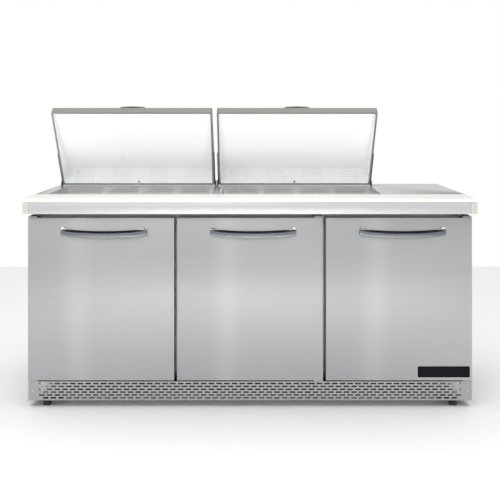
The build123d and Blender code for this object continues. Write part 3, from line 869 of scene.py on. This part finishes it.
@dataclass
class Hood:
    """One lid: shell, liner with pressed ribs, grip and hinge arms."""

    maker: Maker
    side: str
    shell_finish: bpy.types.Material
    liner_finish: bpy.types.Material
    arm_finish: bpy.types.Material
    open_angle: float = math.radians(53.5)
    length: float = 425 * MM
    lip: float = 38 * MM
    rear: float = 120 * MM
    wall: float = 9 * MM
    skin: float = 1.2 * MM
    pivot_above_rim: float = 12 * MM
    corner: float = 7 * MM
    hem: float = 3.0 * MM
    rib_groups: int = 4
    ribs: int = 6
    rib_length: float = 92 * MM
    rib_pitch: float = 15.5 * MM
    rib_proud: float = 2.4 * MM
    rib_height: float = 5.5 * MM
    first_rib: float = 13 * MM
    stud_height: float = 9 * MM
    stud_length: float = 5.5 * MM
    stud_radius: float = 3.4 * MM
    stud_tip: float = 4.6 * MM
    grip_rear: float = 17 * MM
    grip_rise: float = 5 * MM
    grip_crown: float = 7.0 * MM
    grip_cells: int = 16

    def build(self) -> None:
        """Makes the lid's pieces, closed, and turns each one open."""
        name = "lid_" + self.side
        low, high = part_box(name + "_shell")
        self.low_x, self.high_x = low.x, high.x
        self.pivot = self.maker.pivots[name]
        self.rim = self.pivot.z - self.pivot_above_rim
        self.front = self.pivot.y - self.length
        shell = self._body(name + "_hood", 0.0, self.skin, self.corner)
        shell = Bench.joined(name + "_hood", [shell, self._rim_band(name + "_rim")])
        self._open(shell)
        self.maker.hand_in(shell, self.shell_finish, name + "_shell")
        liner = self._body(name + "_inner_liner", self.wall, self.skin, self.corner * 0.8)
        liner = Bench.joined(name + "_inner_liner", [liner] + self._pressed_ribs())
        self._open(liner)
        self.maker.hand_in(liner, self.liner_finish, name + "_liner")
        self._make_grip(name)
        arms = Bench.from_frame(self.maker.frame, name + "_hinge_arms", name + "_arms_eased")
        Bench.soften(arms, 0.8 * MM, 2)
        arms = Bench.joined(name + "_arms_eased", [arms, self._bumper()])
        self.maker.hand_in(arms, self.arm_finish, name + "_hinge_arms")

    def _open(self, piece: bpy.types.Object) -> None:
        """Turns a closed piece open about the hinge."""
        Bench.turn(piece, -self.open_angle, "X", self.pivot)

    def _top(self, y: float) -> float:
        """The height of the closed lid's outer top at a depth."""
        share = (y - self.front) / self.length
        return self.rim + self.lip + (self.rear - self.lip) * share

    def _body(self, name: str, inset: float, thickness: float, corner: float) -> bpy.types.Object:
        """A folded sheet hood, drawn in by an inset.

        Args:
            name: The piece's name.
            inset: How far its face lies inside the lid's outer faces.
            thickness: The sheet's thickness, which lies inwards.
            corner: The rounding of its folds.

        Returns:
            The closed hood.
        """
        slope = (self.rear - self.lip) / self.length
        drop = inset * math.hypot(1, slope)
        low = (self.low_x + inset, self.front + inset, self.rim)
        high = (self.high_x - inset, self.pivot.y - inset, self._top(self.pivot.y - inset) - drop)
        hood = Bench.block(name, low, high)
        fall = high[2] - (self._top(self.front + inset) - drop)
        above = self.rim + HAIR
        ahead = self.front + inset + HAIR
        Bench.pick(hood, lambda point: point.co.z > above and point.co.y < ahead, "VERT")
        bpy.ops.transform.translate(value=(0, 0, -fall))
        Bench.pick(hood, facing(2, -1))
        bpy.ops.mesh.delete(type="FACE")
        Bench.pick(hood, lambda edge: max(point.co.z for point in edge.verts) > above, "EDGE")
        bpy.ops.mesh.bevel(offset=corner, segments=5, affect="EDGES", clamp_overlap=True)
        Bench.done()
        Bench.apply(
            hood, "SOLIDIFY", thickness=thickness, offset=-1.0, use_even_offset=True, use_rim=True
        )
        return Bench.smooth(hood)

    def _rim_band(self, name: str) -> bpy.types.Object:
        """The rolled rim between shell and liner."""
        ease = self.skin
        low = (self.low_x + ease, self.front + ease, self.rim + 0.2 * MM)
        high = (self.high_x - ease, self.pivot.y - ease, self.rim + 0.2 * MM + self.hem)
        band = Bench.block(name, low, high)
        inner = self.wall + 0.4 * MM
        hole = Bench.block(
            "rim_hole",
            (self.low_x + inner, self.front + inner, self.rim - 10 * MM),
            (self.high_x - inner, self.pivot.y - inner, self.rim + 10 * MM),
        )
        Bench.cut(band, hole)
        return Bench.soften(band, 0.8 * MM, 2)

    def _pressed_ribs(self) -> list[bpy.types.Object]:
        """Groups of low ribs pressed into the lower part of the liner."""
        made = []
        inner_y = self.pivot.y - self.wall - self.skin
        span = (self.high_x - self.low_x - 2 * self.wall) / self.rib_groups
        for group in range(self.rib_groups):
            middle = self.low_x + self.wall + span * (group + 0.5)
            for number in range(self.ribs):
                z = self.rim + self.first_rib + number * self.rib_pitch
                rib = Bench.block(
                    "rib",
                    (middle - self.rib_length / 2, inner_y - self.rib_proud, z),
                    (middle + self.rib_length / 2, inner_y + 0.6 * MM, z + self.rib_height),
                )
                made.append(Bench.soften(rib, 2.0 * MM, 3))
        return made

    def _bumper(self) -> bpy.types.Object:
        """A small dark stud low in the middle of the liner's rear wall."""
        middle = (self.low_x + self.high_x) / 2
        inner_y = self.pivot.y - self.wall - self.skin
        start = (middle, inner_y - 5 * MM, self.rim + self.stud_height)
        length, radius, tip = self.stud_length, self.stud_radius, self.stud_tip
        stud = Bench.turned("stud", start, "Y", length, radius, 24, tip)
        Bench.soften(stud, 0.8 * MM, 2)
        self._open(stud)
        return stud

    def _make_grip(self, name: str) -> None:
        """A long low grip that swells from the lid's front edge."""
        low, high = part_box(name + "_grip")
        middle = (low.x + high.x) / 2
        half = (high.x - low.x) / 2
        top = self._top(self.front)
        grip = Bench.block(
            name + "_pull",
            (middle - half, self.front + 1 * MM, top - 1 * MM),
            (middle + half, self.front + self.grip_rear, top + self.grip_rise),
        )
        Bench.divide(grip, half, self.grip_cells)

        def crown(point: bmesh.types.BMVert) -> bool:
            """Whether a point is in the middle of the grip's top."""
            return abs(point.co.x - middle) < 5 * MM and point.co.z > top + 3 * MM

        Bench.pull(grip, crown, (0, 0, self.grip_crown), half, "ROOT")
        Bench.soften(grip, 2.2 * MM, 3, 40)
        self._open(grip)
        self.maker.hand_in(grip, self.shell_finish, name + "_grip")


@dataclass
class Door:
    """One door: rounded skin, pressed inner panel, ribbed gasket and bowed chrome pull."""

    maker: Maker
    number: int
    liner_finish: bpy.types.Material
    gasket_finish: bpy.types.Material
    foam_finish: bpy.types.Material
    edge: float = 1.6 * MM
    lip_drop: float = 11 * MM
    face_height: float = 19 * MM
    belly: float = 14 * MM
    belly_back: float = 12 * MM
    reach: float = 45 * MM
    cells: int = 48
    scoop_depth: float = 15 * MM
    tuck: float = 5 * MM
    foot_inset: float = 9 * MM
    foot_half: float = 8 * MM
    foot_depth: float = 14 * MM
    field_inset: float = 42 * MM
    inner_field_inset: float = 60 * MM
    seal_width: float = 16 * MM

    def build(self) -> None:
        """Makes the door's pieces."""
        name = "door_" + str(self.number)
        low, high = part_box(name + "_skin")
        # The door skin's finish carries a painted highlight band and painted shade at its left
        # edge.
        finish = DoorSteel(name + "_brushed", low.x, high.x).make()
        self.maker.rounded(name + "_skin", finish, 0.5 * MM, 2)
        self._panel(name)
        self._gasket(name)
        self.maker.dress(name + "_foam", self.foam_finish)
        self._pull(name)

    def _panel(self, name: str) -> None:
        """The inner panel, with a field pressed in from its edge."""
        low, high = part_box(name + "_liner")
        panel = Bench.block(name + "_inner_panel", low, high)
        Bench.pick(panel, facing(1, 1))
        for inset, press in (
            (self.field_inset, 0),
            (5 * MM, -1.2 * MM),
            (self.inner_field_inset, 0),
            (4 * MM, 0.9 * MM),
        ):
            bpy.ops.mesh.inset(thickness=inset, depth=press)
        Bench.done()
        Bench.soften(panel, 0.5 * MM, 2, 20)
        self.maker.hand_in(panel, self.liner_finish, name + "_liner")

    def _gasket(self, name: str) -> None:
        """The door seal, a soft tube with two lips round the panel's edge."""
        low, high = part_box(name + "_gasket")
        width = self.seal_width
        seal = Bench.block(name + "_seal", low, high)
        hole = Bench.block(
            "seal_hole",
            (low.x + width, low.y - 5 * MM, low.z + width),
            (high.x - width, high.y + 5 * MM, high.z - width),
        )
        Bench.cut(seal, hole)
        Bench.pick(seal, facing(1, 1))
        bpy.ops.mesh.inset(thickness=3.5 * MM, depth=0)
        bpy.ops.mesh.inset(thickness=2.0 * MM, depth=-3.0 * MM)
        Bench.done()
        Bench.soften(seal, 1.1 * MM, 3, 25)
        self.maker.hand_in(seal, self.gasket_finish, name + "_gasket")

    def _pull(self, name: str) -> None:
        """The crescent pull: a bowed scoop, sloped on top, whose belly runs back to the door."""
        low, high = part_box(name + "_handle")
        middle = (low.x + high.x) / 2
        half = (high.x - low.x) / 2
        face, top = high.y, high.z
        lip = top - self.lip_drop
        chin = lip - self.face_height
        scoop = Bench.block(
            name + "_scoop",
            (middle - half + 1 * MM, face - self.scoop_depth, chin),
            (middle + half - 1 * MM, face - 2 * MM, top - 1 * MM),
        )
        Bench.divide(scoop, half, self.cells)

        def near(point: bmesh.types.BMVert) -> bool:
            """Whether a point is halfway along the pull."""
            return abs(point.co.x - middle) < half / self.cells

        def front(point: bmesh.types.BMVert) -> bool:
            """Whether a point is on the front of the bowed scoop."""
            return point.co.y < self._bow_line(point.co.x - middle, half, face) - 6 * MM

        def rear_foot(point: bmesh.types.BMVert) -> bool:
            """Whether a point is low on the back of the scoop."""
            return not front(point) and point.co.z < chin + HAIR

        bow = self.reach - self.scoop_depth
        Bench.pull(scoop, near, (0, -bow, 0), half * 1.01, "SPHERE")
        Bench.pick(scoop, lambda point: front(point) and point.co.z > lip, "VERT")
        bpy.ops.transform.translate(value=(0, 0, -self.lip_drop))
        Bench.pick(scoop, rear_foot, "VERT")
        bpy.ops.transform.translate(value=(0, self.tuck, 0))
        Bench.done()
        swell = (0, self.belly_back, -self.belly)
        Bench.pull(
            scoop, lambda point: near(point) and rear_foot(point), swell, half * 0.98, "SPHERE"
        )
        Bench.soften(scoop, 1.7 * MM, 4, 30)
        feet = []
        for side in (-1, 1):
            x = middle + side * (half - self.foot_inset)
            foot = Bench.block(
                "foot",
                (x - self.foot_half, face - self.foot_depth, chin + 1 * MM),
                (x + self.foot_half, face - 0.05 * MM, top),
            )
            feet.append(Bench.soften(foot, 5.5 * MM, 5))
        pull = Bench.joined(name + "_pull", [scoop] + feet)
        # The pull's plating carries painted reflections and painted shade, banded by height.
        chrome = PullChrome(name + "_chrome", lip, chin).make()
        self.maker.hand_in(pull, chrome, name + "_handle")

    def _bow_line(self, x: float, half: float, face: float) -> float:
        """Where the back of the bowed scoop lies at a distance from its middle."""
        share = max(0.0, 1 - (x / half) ** 2)
        return face - 2 * MM - (self.reach - self.scoop_depth) * math.sqrt(share)


@dataclass
class Base:
    """The feet, the front grille's screws and the blank plate."""

    maker: Maker
    rubber: bpy.types.Material
    chrome: bpy.types.Material
    plate_finish: bpy.types.Material
    trim_finish: bpy.types.Material
    trim_width: float = 2.2 * MM
    trim_fold: float = 1.4 * MM
    plate_corner: float = 6 * MM
    foot_radius: float = 18 * MM
    pad_height: float = 9 * MM
    collar_base: float = 17 * MM
    head_height: float = 2.4 * MM
    recess: float = 1.1 * MM

    def build(self) -> None:
        """Makes the feet, screws and plate."""
        self._feet()
        self._screws()
        self._plate()

    def _feet(self) -> None:
        """Four glides: a pad, a waist and a collar."""
        low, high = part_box("levelling_feet")
        radius, step = self.foot_radius, self.pad_height
        collar_height = high.z - self.collar_base
        made = []
        for x in (low.x + radius, high.x - radius):
            for y in (low.y + radius, high.y - radius):
                pad = Bench.turned("pad", (x, y, 0), "Z", step, radius, 48, radius * 0.93)
                base = (x, y, step - 0.5 * MM)
                waist = Bench.turned("waist", base, "Z", step, radius * 0.85, 48, radius * 0.55)
                base = (x, y, self.collar_base)
                collar = Bench.turned("collar", base, "Z", collar_height, radius * 0.66, 6)
                made.append(Bench.soften(pad, 1.6 * MM, 3))
                made.append(Bench.soften(waist, 1 * MM, 2))
                made.append(Bench.soften(collar, 0.6 * MM, 2))
        feet = Bench.joined("glide_feet", made)
        self.maker.hand_in(feet, self.rubber, "levelling_feet")

    def _screws(self) -> None:
        """Two pan-head screws with cross recesses."""
        low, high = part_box("grille_screws")
        radius = (high.z - low.z) / 2
        z = (high.z + low.z) / 2
        wide, narrow = radius * 1.1, self.recess
        made = []
        for x in (low.x + radius, high.x - radius):
            place = (x, low.y, z)
            head = Bench.turned("head", place, "Y", self.head_height, radius * 0.8, 32, radius)
            place, length = (x, low.y + 2 * MM, z), high.y - low.y - 2 * MM
            shank = Bench.turned("shank", place, "Y", length, radius * 0.52, 24)
            for across, up in ((wide, narrow), (narrow, wide)):
                slot = Bench.block(
                    "slot",
                    (x - across / 2, low.y - 1 * MM, z - up / 2),
                    (x + across / 2, low.y + 1.2 * MM, z + up / 2),
                )
                Bench.cut(head, slot)
            made += [Bench.soften(head, 0.25 * MM, 2), shank]
        screws = Bench.joined("cross_head_screws", made)
        self.maker.hand_in(screws, self.chrome, "grille_screws")

    def _plate(self) -> None:
        """A blank plate with a raised rim."""
        low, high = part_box("name_plate")
        inset = Vector((self.trim_width, 0, self.trim_width))
        plate = Bench.block("blank_plate", low + inset, high - inset - Vector((0, 0.3 * MM, 0)))
        self._round_corners(plate)
        Bench.pick(plate, facing(1, -1))
        bpy.ops.mesh.inset(thickness=1.8 * MM, depth=0)
        bpy.ops.mesh.inset(thickness=0.8 * MM, depth=-0.7 * MM)
        Bench.done()
        Bench.soften(plate, 0.3 * MM, 2, 25)
        self.maker.hand_in(plate, self.plate_finish, "name_plate")
        trim = Bench.block("plate_trim", low + Vector((0, 0.6 * MM, 0)), high)
        self._round_corners(trim)
        Bench.pick(trim, facing(1, -1))
        bpy.ops.mesh.inset(thickness=self.trim_width, depth=0)
        back = {"value": (0, self.trim_fold, 0)}
        bpy.ops.mesh.extrude_region_move(TRANSFORM_OT_translate=back)
        Bench.done()
        Bench.smooth(trim)
        self.maker.hand_in(trim, self.trim_finish, "name_plate")

    def _round_corners(self, piece: bpy.types.Object) -> None:
        """Rounds the edges of a plate that run from front to back."""
        Bench.pick(piece, running(1, HAIR), "EDGE")
        bpy.ops.mesh.bevel(offset=self.plate_corner, segments=6, affect="EDGES")


@dataclass
class CoolingMachine:
    """The compressor, the fans and the finned coils behind the grilles."""

    maker: Maker
    black: bpy.types.Material
    fins_finish: bpy.types.Material
    blades: int = 5
    blade_pitch: float = math.radians(28)
    blade_twist: float = math.radians(-18)
    hub_radius: float = 28 * MM
    bore_radius: float = 4.3 * MM
    plate_height: float = 6 * MM
    end_inset: float = 14 * MM
    fin_pitch: float = 5.0 * MM
    fin_thickness: float = 0.5 * MM
    first_tube: float = 18 * MM
    tube_pitch: float = 25 * MM
    tube_radius: float = 4.5 * MM
    bend_squeeze: float = 0.55

    def build(self) -> None:
        """Makes the compressor, fans and coils."""
        self._compressor()
        for node in ("condenser_fan", "evaporator_fan"):
            self._fan(node)
        for node in ("condenser_coil", "evaporator_coil"):
            self._coil(node)

    def _compressor(self) -> None:
        """A welded can with a seam, a terminal cover and a base plate."""
        low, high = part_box("compressor")
        middle = (low + high) / 2
        radius = (high.x - low.x) / 2
        step = self.plate_height
        plate = Bench.block("plate", low, (high.x, high.y, low.z + step))
        Bench.soften(plate, 1.5 * MM, 2)
        start = (middle.x, middle.y, low.z + step)
        can = Bench.turned("can", start, "Z", high.z - low.z - step, radius * 0.97, 64)
        Bench.soften(can, 24 * MM, 6, 60)
        place = (middle.x, middle.y, middle.z + 10 * MM)
        seam = Bench.ring("seam", place, "Z", radius * 0.965, 2.6 * MM, 64)
        cover = Bench.block(
            "cover",
            (low.x, middle.y - 24 * MM, middle.z - 20 * MM),
            (low.x + 14 * MM, middle.y + 24 * MM, middle.z + 30 * MM),
        )
        Bench.soften(cover, 4 * MM, 3)
        whole = Bench.joined("compressor_can", [plate, can, seam, cover])
        self.maker.hand_in(Bench.smooth(whole), self.black, "compressor")

    def _fan(self, node: str) -> None:
        """A hub with curved, twisted blades."""
        low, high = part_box(node)
        pivot = self.maker.pivots[node]
        radius = (high.z - low.z) / 2 * 0.985
        depth = high.y - low.y
        centre = (pivot.x, (low.y + high.y) / 2, pivot.z)
        start = (pivot.x, low.y + 0.5 * MM, pivot.z)
        hub = Bench.turned("hub", start, "Y", depth - 1 * MM, self.hub_radius)
        start = (pivot.x, low.y - 5 * MM, pivot.z)
        bore = Bench.turned("bore", start, "Y", depth + 10 * MM, self.bore_radius, 32)
        Bench.cut(hub, bore)
        made = [Bench.soften(hub, 2 * MM, 3)]
        first = Bench.block("blade", (24 * MM, -1 * MM, -21 * MM), (radius, 1 * MM, 21 * MM))
        Bench.pick(first, anything, "EDGE")
        bpy.ops.mesh.subdivide(number_cuts=7)
        Bench.done()

        def tip(point: bmesh.types.BMVert) -> bool:
            """Whether a point is at the blade's outer leading corner."""
            return point.co.x > radius - HAIR and point.co.z > 20 * MM

        Bench.pull(first, tip, (-9 * MM, 0, -2 * MM), 40 * MM, "SMOOTH")
        twist = {"deform_method": "TWIST", "deform_axis": "X", "angle": self.blade_twist}
        Bench.apply(first, "SIMPLE_DEFORM", **twist)
        Bench.soften(first, 0.6 * MM, 2)
        Bench.turn(first, self.blade_pitch, "X", (0, 0, 0))
        first.location = centre
        Bench.settle(first)
        for number in range(1, self.blades):
            blade = Bench.copied(first, "blade")
            made.append(Bench.turn(blade, number * 2 * math.pi / self.blades, "Y", centre))
        made.append(first)
        self.maker.hand_in(Bench.joined(node + "_rotor", made), self.black, node)

    def _coil(self, node: str) -> None:
        """A pack of thin fins between two end plates, with tube bends at each end."""
        low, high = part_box(node)
        middle = (low.y + high.y) / 2
        left, right = low.x + self.end_inset, high.x - self.end_inset
        fin = Bench.block(
            "fin",
            (left, low.y + 2 * MM, low.z + 3 * MM),
            (left + self.fin_thickness, high.y - 2 * MM, high.z - 3 * MM),
        )
        Bench.apply(
            fin,
            "ARRAY",
            count=int((high.x - low.x - 2 * self.end_inset) / self.fin_pitch),
            use_relative_offset=False,
            use_constant_offset=True,
            constant_offset_displace=(self.fin_pitch, 0, 0),
        )
        made = [fin]
        for x in (left - 3 * MM, right):
            end = Bench.block("end", (x, low.y, low.z), (x + 2 * MM, high.y, high.z))
            made.append(Bench.soften(end, 0.5 * MM, 2))
        left, right = left - 4 * MM, right + 4 * MM
        rows = int((high.z - low.z - 20 * MM) / self.tube_pitch)
        for number in range(rows):
            start = (left, middle, low.z + self.first_tube + number * self.tube_pitch)
            made.append(Bench.turned("tube", start, "X", right - left, self.tube_radius, 20))
        for number in range(rows - 1):
            side = left if number % 2 else right
            z = low.z + self.first_tube + (number + 0.5) * self.tube_pitch
            place, radius = (side, middle, z), self.tube_pitch / 2
            bend = Bench.ring("bend", place, "Y", radius, self.tube_radius, 28)
            made.append(self._half_ring(bend, side, -1 if number % 2 else 1))
        self.maker.hand_in(Bench.joined(node + "_finned", made), self.fins_finish, node)

    def _half_ring(self, bend: bpy.types.Object, side: float, way: int) -> bpy.types.Object:
        """Keeps the half of a tube bend that stands out of the end plate, squeezed to fit the coil.

        Args:
            bend: The whole ring.
            side: Where the end plate cuts it.
            way: 1 for the half to the right, -1 for the half to the left.

        Returns:
            The half.
        """
        Bench.pick(bend, anything, "VERT")
        bpy.ops.mesh.bisect(
            plane_co=(side, 0, 0), plane_no=(-way, 0, 0), clear_outer=True, use_fill=True
        )
        bpy.ops.mesh.select_all(action="SELECT")
        bpy.ops.transform.resize(value=(self.bend_squeeze, 1, 1), center_override=(side, 0, 0))
        Bench.done()
        return Bench.smooth(bend)


@dataclass
class Studio:
    """The camera, the surround, the lights and the floor round the object's box."""

    low: Vector
    high: Vector
    lens: float = 62.7
    sensor: float = 36.0
    shift: float = -0.2714
    distance: float = 3.5
    eye_height: float = 1.2
    band: tuple = ((0.0, 1.0), (0.64, 1.0), (0.72, 0.16), (0.8, 0.14), (0.87, 1.0))
    floor_size: float = 16.0
    floor_behind: float = 2.6

    def build(self) -> None:
        """Sets the camera, the lights and the floor."""
        self._camera()
        self._world()
        self._lights()
        self._floor()

    def _camera(self) -> None:
        """A level view from in front, a little above the worktop."""
        data = bpy.data.cameras.new("camera")
        data.lens = self.lens
        data.sensor_width = self.sensor
        data.shift_y = self.shift
        camera = bpy.data.objects.new("camera", data)
        camera.location = (0.0, self.low.y - self.distance, self.eye_height)
        camera.rotation_euler = (math.pi / 2, 0.0, 0.0)
        bpy.context.scene.collection.objects.link(camera)
        bpy.context.scene.camera = camera

    def _world(self) -> None:
        """A white surround with a grey band high up, for the chrome to show."""
        world = bpy.data.worlds.new("studio")
        bpy.context.scene.world = world
        world.use_nodes = True
        nodes, links = world.node_tree.nodes, world.node_tree.links
        place = nodes.new("ShaderNodeTexCoord")
        parts = nodes.new("ShaderNodeSeparateXYZ")
        links.new(place.outputs["Generated"], parts.inputs[0])
        ramp = nodes.new("ShaderNodeValToRGB")
        while len(ramp.color_ramp.elements) < len(self.band):
            ramp.color_ramp.elements.new(0.5)
        for element, (height, level) in zip(ramp.color_ramp.elements, self.band):
            element.position = height
            element.color = (level, level, level, 1.0)
        half = nodes.new("ShaderNodeMath")
        half.operation = "MULTIPLY_ADD"
        half.inputs[1].default_value = 0.5
        half.inputs[2].default_value = 0.5
        links.new(parts.outputs["Z"], half.inputs[0])
        links.new(half.outputs[0], ramp.inputs[0])
        links.new(ramp.outputs[0], nodes["Background"].inputs[0])
        nodes["Background"].inputs[1].default_value = 1.0

    def _lights(self) -> None:
        """A large soft light overhead, a low one in front and a softbox that the chrome shows."""
        self._panel("overhead", (0.0, -0.6, 5.0), 8.0, 8.0, 110.0, (0, -0.6, 0), False)
        self._panel("bounce", (0.0, -3.2, 0.25), 3.0, 0.8, 75.0, (0, 0, 1.1), False)
        self._panel("softbox", (-0.9, -3.0, 2.6), 3.6, 1.6, 24.0, (0, 0, 0.7), True)

    def _panel(
        self,
        name: str,
        place: Sequence[float],
        wide: float,
        tall: float,
        watts: float,
        target: Sequence[float],
        mirrored: bool,
    ) -> None:
        """One flat light that faces a target.

        Args:
            name: The light's name.
            place: Its middle.
            wide: Its width.
            tall: Its height.
            watts: Its power.
            target: The point that it faces.
            mirrored: Whether it shows in shiny surfaces.
        """
        data = bpy.data.lights.new(name, "AREA")
        data.shape = "RECTANGLE"
        data.size = wide
        data.size_y = tall
        data.energy = watts
        light = bpy.data.objects.new(name, data)
        light.location = place
        aim = Vector(target) - light.location
        light.rotation_euler = aim.to_track_quat("-Z", "Y").to_euler()
        light.visible_glossy = mirrored
        light.visible_camera = False
        bpy.context.scene.collection.objects.link(light)

    def _floor(self) -> None:
        """A plain pale floor."""
        y = self.high.y + self.floor_behind - self.floor_size / 2
        bpy.ops.mesh.primitive_plane_add(size=self.floor_size, location=(0, y, self.low.z))
        floor = bpy.context.object
        floor.name = "floor"
        paint = Paint("pale_floor")
        cloud = paint.noise(paint.place, 1.5, 3.0)
        colour = paint.mixed(cloud, (0.95, 0.95, 0.95), (0.97, 0.97, 0.97))
        floor.data.materials.append(paint.set(Base_Color=colour, Roughness=0.8))
        floor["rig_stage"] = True


class PrepTable:
    """The whole table."""

    def __init__(self, frame: dict) -> None:
        """Mixes the finishes and keeps the frame.

        Args:
            frame: The loaded frame.
        """
        self.maker = Maker(frame)
        self.top_steel = BrushedSteel("top_steel", (0.68, 0.685, 0.69), Grain.ALONG, 0.32).make()
        self.side_steel = BrushedSteel("side_steel", (0.56, 0.565, 0.57), Grain.DEEP, 0.34).make()
        self.frame_steel = BrushedSteel("frame_steel", (0.6, 0.6, 0.59), Grain.ALONG, 0.36).make()
        self.grille_steel = BrushedSteel(
            "grille_steel", (0.42, 0.42, 0.41), Grain.ALONG, 0.34, 0.08
        ).make()
        self.hood_steel = BrushedSteel("hood_steel", (0.38, 0.38, 0.355), Grain.ALONG, 0.36).make()
        self.well_steel = BrushedSteel("well_steel", (0.74, 0.74, 0.73), Grain.ALONG, 0.3).make()
        self.pan_steel = BrushedSteel(
            "pan_steel", (0.72, 0.72, 0.72), Grain.UPRIGHT, 0.26, metallic=0.6
        ).make()
        # The lid liners' near-white, non-metal colour is a painted reflection of the white
        # surround, standing in for polished steel.
        self.liner_steel = PlainFinish(
            "painted_reflection_liner", (0.955, 0.96, 0.965), 0.3, 500.0, 0.00005, 0.01, 0.0
        ).make()
        self.chrome = Chrome("polished_chrome").make()
        # Near-black finish: painted shade for the dark space seen through the grille.
        self.hidden = PlainFinish("painted_shade_black", (0.012, 0.012, 0.013), 0.6, gloss=0.2).make()
        self.dark = PlainFinish("dark_bracket", (0.09, 0.088, 0.085), 0.42, metallic=0.6).make()
        self.white = Polyethylene("white_board").make()
        self.cream = PlainFinish("cream_cap", (0.44, 0.425, 0.4), 0.45, clouds=0.02).make()
        self.rubber = PlainFinish("black_rubber", (0.02, 0.02, 0.021), 0.6, 350.0, 0.0002).make()
        self.seal = PlainFinish("grey_seal", (0.16, 0.165, 0.17), 0.55, 500.0, 0.0002).make()
        self.black = PlainFinish(
            "black_enamel", (0.018, 0.018, 0.02), 0.3, 900.0, 0.00004, coat=0.4
        ).make()
        self.moulded = PlainFinish("moulded_black", (0.03, 0.03, 0.032), 0.5, 1200.0, 0.0001).make()
        self.plate = PlainFinish(
            "plate_black", (0.004, 0.004, 0.005), 0.5, 900.0, 0.00003, 0.02, gloss=0.12
        ).make()
        self.foam = PlainFinish("cut_foam", (0.78, 0.66, 0.38), 0.9, 700.0, 0.0006, 0.12).make()
        self.stucco = StuccoAluminium("stucco_lining").make()
        self.fins = PlainFinish(
            "fin_aluminium", (0.62, 0.63, 0.64), 0.35, 300.0, 0.0001, 0.05, 1.0
        ).make()
        self.copper = PlainFinish(
            "drawn_copper", (0.78, 0.4, 0.24), 0.3, 200.0, 0.00005, 0.12, 1.0
        ).make()
        self.wire = PlainFinish(
            "coated_wire", (0.8, 0.8, 0.79), 0.35, 900.0, 0.00005, 0.03, coat=0.3
        ).make()

    def build(self) -> None:
        """Builds every sub-assembly in order."""
        maker = self.maker
        Counter(maker, self.top_steel, self.white, self.cream).build()
        for side in ("left", "right"):
            Hood(maker, side, self.hood_steel, self.liner_steel, self.dark).build()
        for number in (1, 2, 3):
            Door(maker, number, self.stucco, self.seal, self.foam).build()
        Base(maker, self.rubber, self.chrome, self.plate, self.top_steel).build()
        CoolingMachine(maker, self.black, self.fins).build()
        self._eased()
        self._dressed()

    def _eased(self) -> None:
        """Folded sheet and bars whose edges are eased."""
        eased = {
            "side_panels": (self.side_steel, 0.5),
            "back_panel": (self.frame_steel, 0.4),
            "front_frame": (self.frame_steel, 1.0),
            # The base frame is painted shade, near-black behind the grille.
            "base_frame": (self.hidden, 0.4),
            "door_hinge_brackets": (self.grille_steel, 0.6),
            "lid_hinge_brackets": (self.dark, 0.6),
            "pan_bars": (self.pan_steel, 0.8),
            "control_box": (self.moulded, 1.5),
            "power_inlet": (self.moulded, 0.5),
            "machine_housing": (self.stucco, 1.0),
            "food_pans_left": (self.pan_steel, 0.35),
            "food_pans_right": (self.pan_steel, 0.35),
        }
        for node, (finish, width) in eased.items():
            self.maker.rounded(node, finish, width * MM)

    def _dressed(self) -> None:
        """Frame nodes that keep their own shape."""
        finishes = {
            "well_liners": self.well_steel,
            "wall_foam": self.foam,
            "interior_liner": self.stucco,
            "ceiling_panel": self.stucco,
            "front_grille": self.grille_steel,
            "shelf_strips": self.top_steel,
            "evaporator_housing": self.stucco,
            "fan_motors": self.black,
            "rear_service_grille": self.grille_steel,
            "drain_pan": self.moulded,
            "refrigerant_lines": self.copper,
            "shelf_left": self.wire,
            "shelf_middle": self.wire,
            "shelf_right": self.wire,
        }
        for node, finish in finishes.items():
            self.maker.dress(node, finish)


def main() -> None:
    """Loads the frame and builds the scene."""
    logging.basicConfig(level=logging.INFO, format="%(message)s")
    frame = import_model()
    cad_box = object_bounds()
    Studio(*cad_box).build()
    PrepTable(frame).build()
    bpy.context.scene.view_settings.view_transform = "Standard"


if __name__ == "__main__":
    main()
